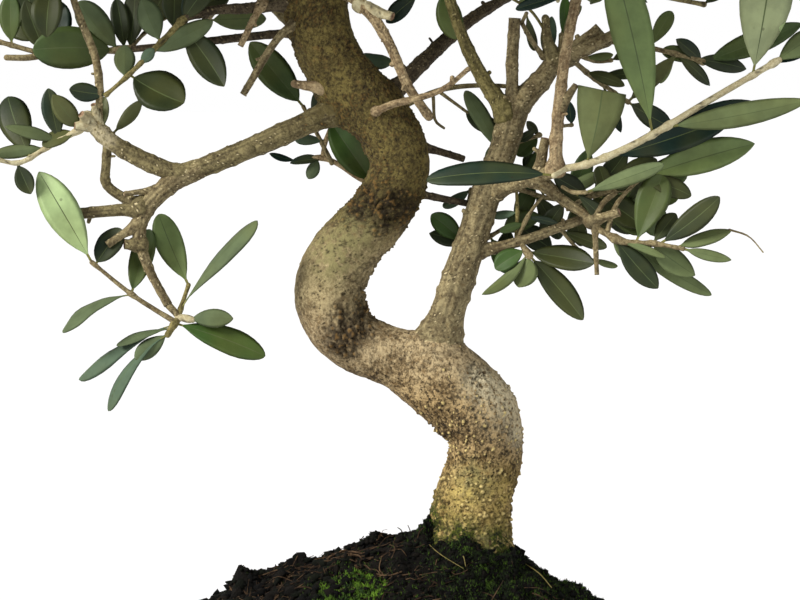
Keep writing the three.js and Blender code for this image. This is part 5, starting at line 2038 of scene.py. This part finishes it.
@dataclass
class Pot:
    """A plain oval pot with an inset foot and a rolled lip."""

    length: float = 232.0
    width: float = 172.0
    height: float = 55.0
    foot_length: float = 184.0
    foot_height: float = 5.0
    waist_length: float = 198.0
    lip_height: float = 10.0
    lip_out: float = 5.0
    wall: float = 9.0
    floor: float = 10.0
    steps: int = 144
    rounding: float = 0.9
    sharp: float = 30.0
    finish: Finish = Stoneware("stoneware", 0.3)

    def profile(self) -> Pairs:
        """Half of its section.

        Returns:
            Pairs of distance and height, from the middle of the underside round to the middle of the floor.
        """
        foot, waist, lip = self.foot_length / 2, self.waist_length / 2, self.length / 2
        lip_foot, shoulder, rim = self.height - self.lip_height, lip - self.lip_out, lip - self.wall
        belly = [
            (mix(waist, shoulder, math.sin(share * math.pi / 2)), mix(self.foot_height + 2, lip_foot - 2, share))
            for share in np.linspace(0, 1, 9)
        ]
        outside = [(0, 0), (foot - 1, 0), (foot, 1), (foot, self.foot_height), *belly, (lip, lip_foot)]
        inside = [
            (lip, self.height - 2), (lip - 2, self.height), (rim + 1, self.height), (rim, self.height - 1),
            (rim - 3, lip_foot), (waist - self.wall, self.floor + 4), (waist - self.wall - 4, self.floor),
            (0, self.floor),
        ]
        return outside + inside

    def build(self) -> None:
        """Turns the pot, draws it out into an oval and rounds its edges."""
        shape = bmesh.new()
        turn_profile(shape, self.profile(), self.steps, self.width / self.length)
        sharp = [edge for edge in shape.edges if edge.calc_face_angle(0.0) > math.radians(self.sharp)]
        size = self.rounding * MM
        bmesh.ops.bevel(shape, geom=sharp, offset=size, segments=3, profile=0.5, affect="EDGES", material=-1)
        bmesh.ops.recalc_face_normals(shape, faces=shape.faces)
        for face in shape.faces:
            face.smooth = True
        show(meshed(shape, "pot_stoneware"), [self.finish], ["pot"])


def turn_profile(shape: bmesh.types.BMesh, profile: Pairs, steps: int, depth: float) -> None:
    """Turns a profile about the Z axis and narrows it from front to back.

    Args:
        shape: The mesh that takes it.
        profile: Pairs of distance from the axis and height.
        steps: The steps in a full turn.
        depth: The share of its width that it is deep.
    """
    verts = [shape.verts.new((out * MM, 0, up * MM)) for out, up in profile]
    edges = [shape.edges.new(pair) for pair in zip(verts, verts[1:])]
    bmesh.ops.spin(
        shape, geom=verts + edges, cent=(0, 0, 0), axis=(0, 0, 1), angle=2 * math.pi, steps=steps, use_merge=True
    )
    bmesh.ops.remove_doubles(shape, verts=shape.verts, dist=1e-6)
    bmesh.ops.scale(shape, vec=(1, depth, 1), verts=shape.verts)
    bmesh.ops.recalc_face_normals(shape, faces=shape.faces)


@dataclass(frozen=True)
class Clod:
    """A clod, or a patch of moss or of crumbs: its place from above, its spread, and its height or thickness."""

    x: float
    y: float
    size: float
    height: float

    def apart(self, places: Array) -> Array:
        """How far places are from its middle, seen from above."""
        return np.hypot(places[..., 0] - self.x, places[..., 1] - self.y)

    def rise(self, places: Array) -> Array:
        """Its height or thickness at places."""
        return self.height * np.exp(-((self.apart(places) / self.size) ** 2))


@dataclass
class Soil:
    """The mound of soil, with crumbs, dry roots, fallen blades of grass and moss."""

    pot: Pot = field(default_factory=Pot)
    edge_height: float = 50.0
    seat_length: float = 64.0
    seat_offset: float = 14.0
    left_bulge: float = 9.0
    left_start: float = -15.0
    left_fade: float = 20.0
    coarse_patch: Clod = Clod(-2, 4, 16, 0.7)
    ground: float = 89.7
    gap: float = 0.3
    rows: int = 90
    steps: int = 300
    crumbs: int = 9000
    fibres: int = 300
    moss: int = 11000
    clods: Sequence[Clod] = (
        Clod(-89, 0, 9, -5), Clod(-74, 0, 6, 9), Clod(-69, -4, 5, 2.5), Clod(-55, 2, 10, 5.5),
        Clod(-47, -2, 4, 2), Clod(-34, 0, 7, -1), Clod(-16, 4, 6, 4), Clod(2, 8, 7, 3.5), Clod(8, -5, 4.5, 15),
        Clod(4, -9, 5, 5), Clod(20, -19, 8, 3.5), Clod(48, 0, 6, -8), Clod(58, 2, 6, -2), Clod(66, 2, 8, 2),
        Clod(76, 0, 8, 4.5),
    )
    fallen_blades: Sequence[Line] = (
        ((5, -9, 93), (12, -28, 89.5), (21, -35, 85)), ((47, -9, 83), (53, -17, 80), (58, -24, 75)),
        ((18, -22, 91), (21, -27, 89), (22, -33, 85.5)),
    )
    moss_patches: Sequence[Clod] = (
        Clod(-27, -42, 14, 1.8), Clod(30, -28, 20, 1.0), Clod(54, -14, 18, 1.0), Clod(8, -6, 12, 0.8),
        Clod(66, 8, 18, 0.5), Clod(24, 28, 18, 0.5), Clod(-30, 44, 24, 0.4), Clod(58, 40, 16, 0.4),
    )

    CONE, SLOPE = 40.0, 0.72
    LUMPS = ((2.2, 15.0), (1.8, 6.0), (1.5, 3.0))
    LEFT_ROOTS = 0.6
    ROOT_RADII, BLADE_RADII = (0.12, 0.42), (0.2, 0.3)
    SPIKES, BARE_CHANCE = 4, 0.025
    CUSHION_SIZE, CUSHION_EDGE = 15.0, 6.0
    CRUMBS = (
        Earth("crumb_black", 0.15, 0x030303, 0x0E0D0C), Earth("crumb_brown", 0.15, 0x090806, 0x1A1510),
        Earth("crumb_mossy", 0.15, 0x050703, 0x11140A),
    )
    ROOTS = (
        Earth("root_rust", 0.2, 0x30241A, 0x735B42), Earth("root_brown", 0.2, 0x1E150D, 0x4A3726),
        Earth("dry_blade", 0.2, 0x7A6E3E, 0xA89C62),
    )
    MOSSES = (
        MossGreen("moss_bright", 0.2, 0x1C300B, 0x5C7E20), MossGreen("moss_dark", 0.2, 0x060903, 0x131B08),
        MossGreen("moss_mid", 0.2, 0x131F08, 0x3C5512),
    )

    @property
    def edge(self) -> float:
        """Half the length of the mound's edge, just inside the pot.

        Returns:
            The distance from its middle.
        """
        rim = self.pot.length / 2 - self.pot.wall
        lip_foot = self.pot.height - self.pot.lip_height
        return rim - 3 + 3 * (self.edge_height - lip_foot) / (self.pot.lip_height - 1) - 2 * self.gap

    def bare(self, down: Array, turn: Array) -> Array:
        """The mound without its lumps.

        Args:
            down: The share of the way down from its seat to its edge, below nought on the seat itself.
            turn: The angle about its middle.

        Returns:
            The places.
        """
        slope = np.clip(down, 0, 1)
        radius = np.where(down < 0, self.seat_length / 2 * (1 + down), mix(self.seat_length / 2, self.edge, slope))
        x = radius * np.cos(turn) + self.seat_offset * (1 - slope) - self.left_bulge * np.sin(math.pi * slope)
        y = radius * np.sin(turn) * self.pot.width / self.pot.length
        return np.stack((x, y, self.ground - (self.ground - self.edge_height) * slope), axis=-1)

    def lumpy(self, places: Array) -> Array:
        """The mound with its lumps and clods.

        Args:
            places: Places on the bare mound.

        Returns:
            The raised places.
        """
        lumps = Lumps(21)
        inside = smooth((places[..., 2] - self.edge_height) / 6)
        heights = sum(height * lumps(places, size) for height, size in self.LUMPS)
        for clod in self.clods:
            heights = heights + clod.rise(places) * (1 + 0.5 * lumps(places, 4))
        return places + np.stack((0 * heights, 0 * heights, heights * inside), axis=-1)

    def build(self) -> None:
        """Makes the mound, what lies on it and what grows on it."""
        self._mound()
        dealer = np.random.default_rng(33)
        self._crumbs(dealer)
        self._fibres(dealer)
        self._moss(dealer)

    def _mound(self) -> None:
        """The closed body of soil. Its top is drawn as a cone, then bent into the lumpy mound."""
        inner, rim = self.pot.waist_length / 2 - self.pot.wall, self.pot.length / 2 - self.pot.wall
        lip_foot, floor = self.pot.height - self.pot.lip_height, self.pot.floor + self.gap
        wall = [(0, floor), (inner - 4, floor), (inner - 0.6, floor + 4), (rim - 3.6, lip_foot + self.gap)]
        shares = np.linspace(0, 1, self.rows)
        cone = [(float(mix(self.edge, 0, share)), self.edge_height + self.CONE * share) for share in shares]
        squash = self.pot.width / self.pot.length
        shape = bmesh.new()
        turn_profile(shape, wall + cone, self.steps, squash)
        tops = [vert for vert in shape.verts if vert.co.z >= self.edge_height * MM - 1e-9]
        places = np.array([vert.co for vert in tops]) / MM
        share = (places[:, 2] - self.edge_height) / self.CONE
        down = np.where(share < self.SLOPE, 1 - share / self.SLOPE, -(share - self.SLOPE) / (1 - self.SLOPE))
        turn = np.arctan2(places[:, 1] / squash, places[:, 0])
        for vert, place in zip(tops, self.lumpy(self.bare(down, turn)) * MM):
            vert.co = place
        for face in shape.faces:
            face.smooth = True
        show(meshed(shape, "soil_mound"), [Earth("black_earth", 0.15)], ["soil"])

    def _spots(self, count: int, dealer: Dealer) -> Array:
        """Places dealt over the mound, evenly as seen from above.

        Args:
            count: How many.
            dealer: Deals them.

        Returns:
            The places.
        """
        seat = self.seat_length / 2
        radius = self.edge * np.sqrt(dealer.uniform(0, 0.96, count))
        down = np.where(radius < seat, radius / seat - 1, (radius - seat) / (self.edge - seat))
        return self.lumpy(self.bare(down, dealer.uniform(0, 2 * math.pi, count)))

    def _crumbs(self, dealer: Dealer) -> None:
        """Crumbs of soil, each an uneven ball half sunk.

        Args:
            dealer: Deals them.
        """
        shape = bmesh.new()
        bmesh.ops.create_icosphere(shape, subdivisions=1, radius=1.0)
        ball = np.array([vert.co for vert in shape.verts])
        faces = np.array([[vert.index for vert in face.verts] for face in shape.faces])
        shape.free()
        spots = self._spots(self.crumbs, dealer)
        on_left = smooth((self.left_start - spots[:, 0]) / self.left_fade)
        coarse = 1 + self.coarse_patch.rise(spots) + 0.9 * on_left
        sizes = np.exp(dealer.normal(-0.3, 0.5, self.crumbs)) * coarse
        sizes = np.minimum(sizes, 1.7 + 1.1 * on_left)[:, None, None]
        stretch = dealer.uniform((0.4, 0.4, 0.4), (1.5, 1.5, 1.0), (self.crumbs, 3))[:, None]
        rough = dealer.uniform(0.5, 1.4, (self.crumbs, len(ball), 1))
        places = spots[:, None] + ball * rough * stretch * sizes + (0, 0, 0.2)
        slots = np.repeat(dealer.integers(0, 3, self.crumbs), len(faces))
        show(joined("soil_crumbs", places, faces, slots), self.CRUMBS, [])

    def _ground_line(self, dealer: Dealer, left: bool) -> Array:
        """A wandering line along the ground.

        Args:
            dealer: Deals it.
            left: Whether it lies on the left slope, and otherwise anywhere.

        Returns:
            Its places.
        """
        down, turn = dealer.uniform(-0.3, 0.75), dealer.uniform(0, 2 * math.pi)
        if left:
            down, turn = dealer.uniform(0.02, 0.6), math.pi + dealer.normal(0.35, 0.5)
        steps = np.arange(5)
        downs = down + steps * dealer.normal(0, 0.035) + dealer.normal(0, 0.012, 5)
        turns = turn + steps * dealer.normal(0, 0.07) + dealer.normal(0, 0.025, 5)
        return self.lumpy(self.bare(np.minimum(downs, 0.9), turns))

    def _fibres(self, dealer: Dealer) -> None:
        """Pale fallen blades, and dry roots along the ground, most on the left slope.

        Args:
            dealer: Deals them.
        """
        mesh = BarkMesh("soil_fibres")
        lines = [Course.through(line) for line in self.fallen_blades]
        for _ in range(self.fibres):
            line = self._ground_line(dealer, dealer.random() < self.LEFT_ROOTS)
            line[:, 2] += dealer.uniform(-0.4, 1.1, 5)
            line[3:, 2] += dealer.uniform(0, 1) ** 4 * np.array((2.5, 4.5))
            lines.append(Course.through(line))
        for number, course in enumerate(lines):
            blade = number < len(self.fallen_blades)
            radius = dealer.uniform(*(self.BLADE_RADII if blade else self.ROOT_RADII))
            shares = np.linspace(0, 1, 12)
            skin = Skin.along(course, shares, np.linspace(radius, radius * 0.5, 12), 5, Ends.CUT_TIP)
            mesh.tube(skin, 2 if blade else int(dealer.integers(0, 2)), False)
        show(mesh.done(), self.ROOTS, [])

    def _moss(self, dealer: Dealer) -> None:
        """Sprigs of moss, each a few spikes, in patches. Most of the first patch is bright.

        Args:
            dealer: Deals them.
        """
        spots = self._spots(self.moss * 5, dealer)
        chance = np.full(len(spots), self.BARE_CHANCE)
        for patch in self.moss_patches:
            chance = np.maximum(chance, patch.rise(spots))
        spots = spots[dealer.random(len(spots)) < chance][: self.moss]
        count = len(spots) * self.SPIKES
        roots = np.repeat(spots, self.SPIKES, axis=0) + dealer.normal(0, 0.35, (count, 3)) * (1, 1, 0.3)
        ways = unit(dealer.normal(0, 0.55, (count, 3)) + (0, 0, 1))
        edge = self.CUSHION_SIZE + self.CUSHION_EDGE * Lumps(4)(roots, 6)
        bright = self.moss_patches[0].apart(roots) < edge
        lengths = dealer.uniform(0.5, 1.5, (count, 1)) * (1 + 0.5 * bright[:, None])
        side = unit(np.cross(ways, dealer.normal(0, 1, (count, 3))))
        other = np.cross(ways, side)
        width = lengths * 0.26
        foot = roots - ways * 0.6
        corners = [foot + side * width, foot - side * width * 0.5 + other * width * 0.87]
        corners += [foot - side * width * 0.5 - other * width * 0.87, roots + ways * lengths]
        spike = np.array(((0, 1, 3), (1, 2, 3), (2, 0, 3), (2, 1, 0)))
        lit = bright & (dealer.random(count) < 0.75)
        slots = np.repeat(np.where(lit, 0, dealer.integers(1, 3, count)), len(spike))
        show(joined("soil_moss", np.stack(corners, axis=1), spike, slots), self.MOSSES, [])


@dataclass(frozen=True)
class Lamp:
    """A soft far lamp: where it shines from, how wide it looks in degrees and its strength."""

    name: str
    place: Place
    spread: float
    strength: float
    warmth: int = 0xFFFFFF


@dataclass
class Studio:
    """A plain pale floor, soft light and a camera at the photograph's height and distance."""

    target: Place = (-5.0, 0.0, 193.0)
    distance: float = 1200.0
    elevation: float = 4.0
    frame_width: float = 336.0
    sensor: float = 36.0
    floor_size: float = 120.0
    floor_gap: float = 0.2
    backdrop: float = 1.0
    ambient: float = 0.35
    lamps: Sequence[Lamp] = (
        Lamp("key", (-1100, -600, 900), 24, 4.9, 0xFFFCF7),
        Lamp("fill", (900, -700, 700), 50, 0.6),
    )

    def build(self) -> None:
        """Sets up the floor, the lamps, the sky and the camera."""
        self._floor()
        for lamp in self.lamps:
            self._lamp(lamp)
        self._sky()
        self._camera()

    def _floor(self) -> None:
        """A wide flat floor just under the pot."""
        shape = bmesh.new()
        bmesh.ops.create_grid(shape, x_segments=8, y_segments=8, size=self.floor_size / 2)
        bmesh.ops.translate(shape, vec=(0, 0, -self.floor_gap * MM), verts=shape.verts)
        mesh = meshed(shape, "floor")
        mesh.materials.append(Paper("floor_paper", 0.1).material())
        floor = bpy.data.objects.new("floor", mesh)
        bpy.context.scene.collection.objects.link(floor)

    def _lamp(self, lamp: Lamp) -> None:
        """Hangs a lamp that looks at the plant.

        Args:
            lamp: The lamp.
        """
        light = bpy.data.lights.new(lamp.name, "SUN")
        light.energy, light.angle, light.color = lamp.strength, math.radians(lamp.spread), rgb(lamp.warmth)[:3]
        hung = bpy.data.objects.new(lamp.name, light)
        hung.location = Vector(lamp.place) * MM
        hung.rotation_euler = (Vector(self.target) - Vector(lamp.place)).to_track_quat("-Z", "Y").to_euler()
        bpy.context.scene.collection.objects.link(hung)

    def _sky(self) -> None:
        """A white sky behind the plant that lights it softly."""
        world = bpy.data.worlds.new("sky")
        world.use_nodes = True
        book = NodeBook(world.node_tree)
        seen = book.node("ShaderNodeLightPath", {}, {}, "Is Camera Ray")
        strength = self.ambient + seen * (self.backdrop - self.ambient)
        book.fill(world.node_tree.nodes["Background"], {"Color": (1, 1, 1, 1), "Strength": strength})
        bpy.context.scene.world = world
        bpy.context.scene.view_settings.view_transform = "Standard"

    def _camera(self) -> None:
        """A long lens, a little above the middle of what it frames."""
        rise = math.radians(self.elevation)
        away = Vector((0, -math.cos(rise), math.sin(rise)))
        lens = bpy.data.cameras.new("camera")
        lens.sensor_width = self.sensor
        lens.lens = self.sensor * self.distance / self.frame_width
        camera = bpy.data.objects.new("camera", lens)
        camera.location = (Vector(self.target) + away * self.distance) * MM
        camera.rotation_euler = (-away).to_track_quat("-Z", "Y").to_euler()
        bpy.context.scene.collection.objects.link(camera)
        bpy.context.scene.camera = camera


def main() -> None:
    """Builds the plant from the pot up, then the studio."""
    logging.basicConfig(level=logging.INFO, format="%(name)s %(message)s")
    timber = Timber()
    Pot().build()
    Soil().build()
    Trunk().build(timber)
    for name, limbs, seed in (("left", BOUGHS_LEFT, 100), ("right", BOUGHS_RIGHT, 200), ("crown", BOUGHS_CROWN, 300)):
        Boughs(f"boughs_{name}", list(limbs.values()), seed, list(limbs)).build(timber)
    for name, sprays, seed in (("left", SPRAYS_LEFT, 41), ("right", SPRAYS_RIGHT, 42)):
        Foliage(name, list(sprays), [spray.grow() for spray in sprays.values()], NEAR_BLADE, seed).build()
    crown = (("crown_front", MASSES_FRONT, 43), ("crown_back", MASSES_BACK, 44), ("crown_top", MASSES_TOP, 45))
    for name, masses, seed in crown:
        Foliage(name, list(masses), [mass.grow(timber) for mass in masses.values()], FAR_BLADE, seed).build()
    Studio().build()


if __name__ == "__main__":
    main()
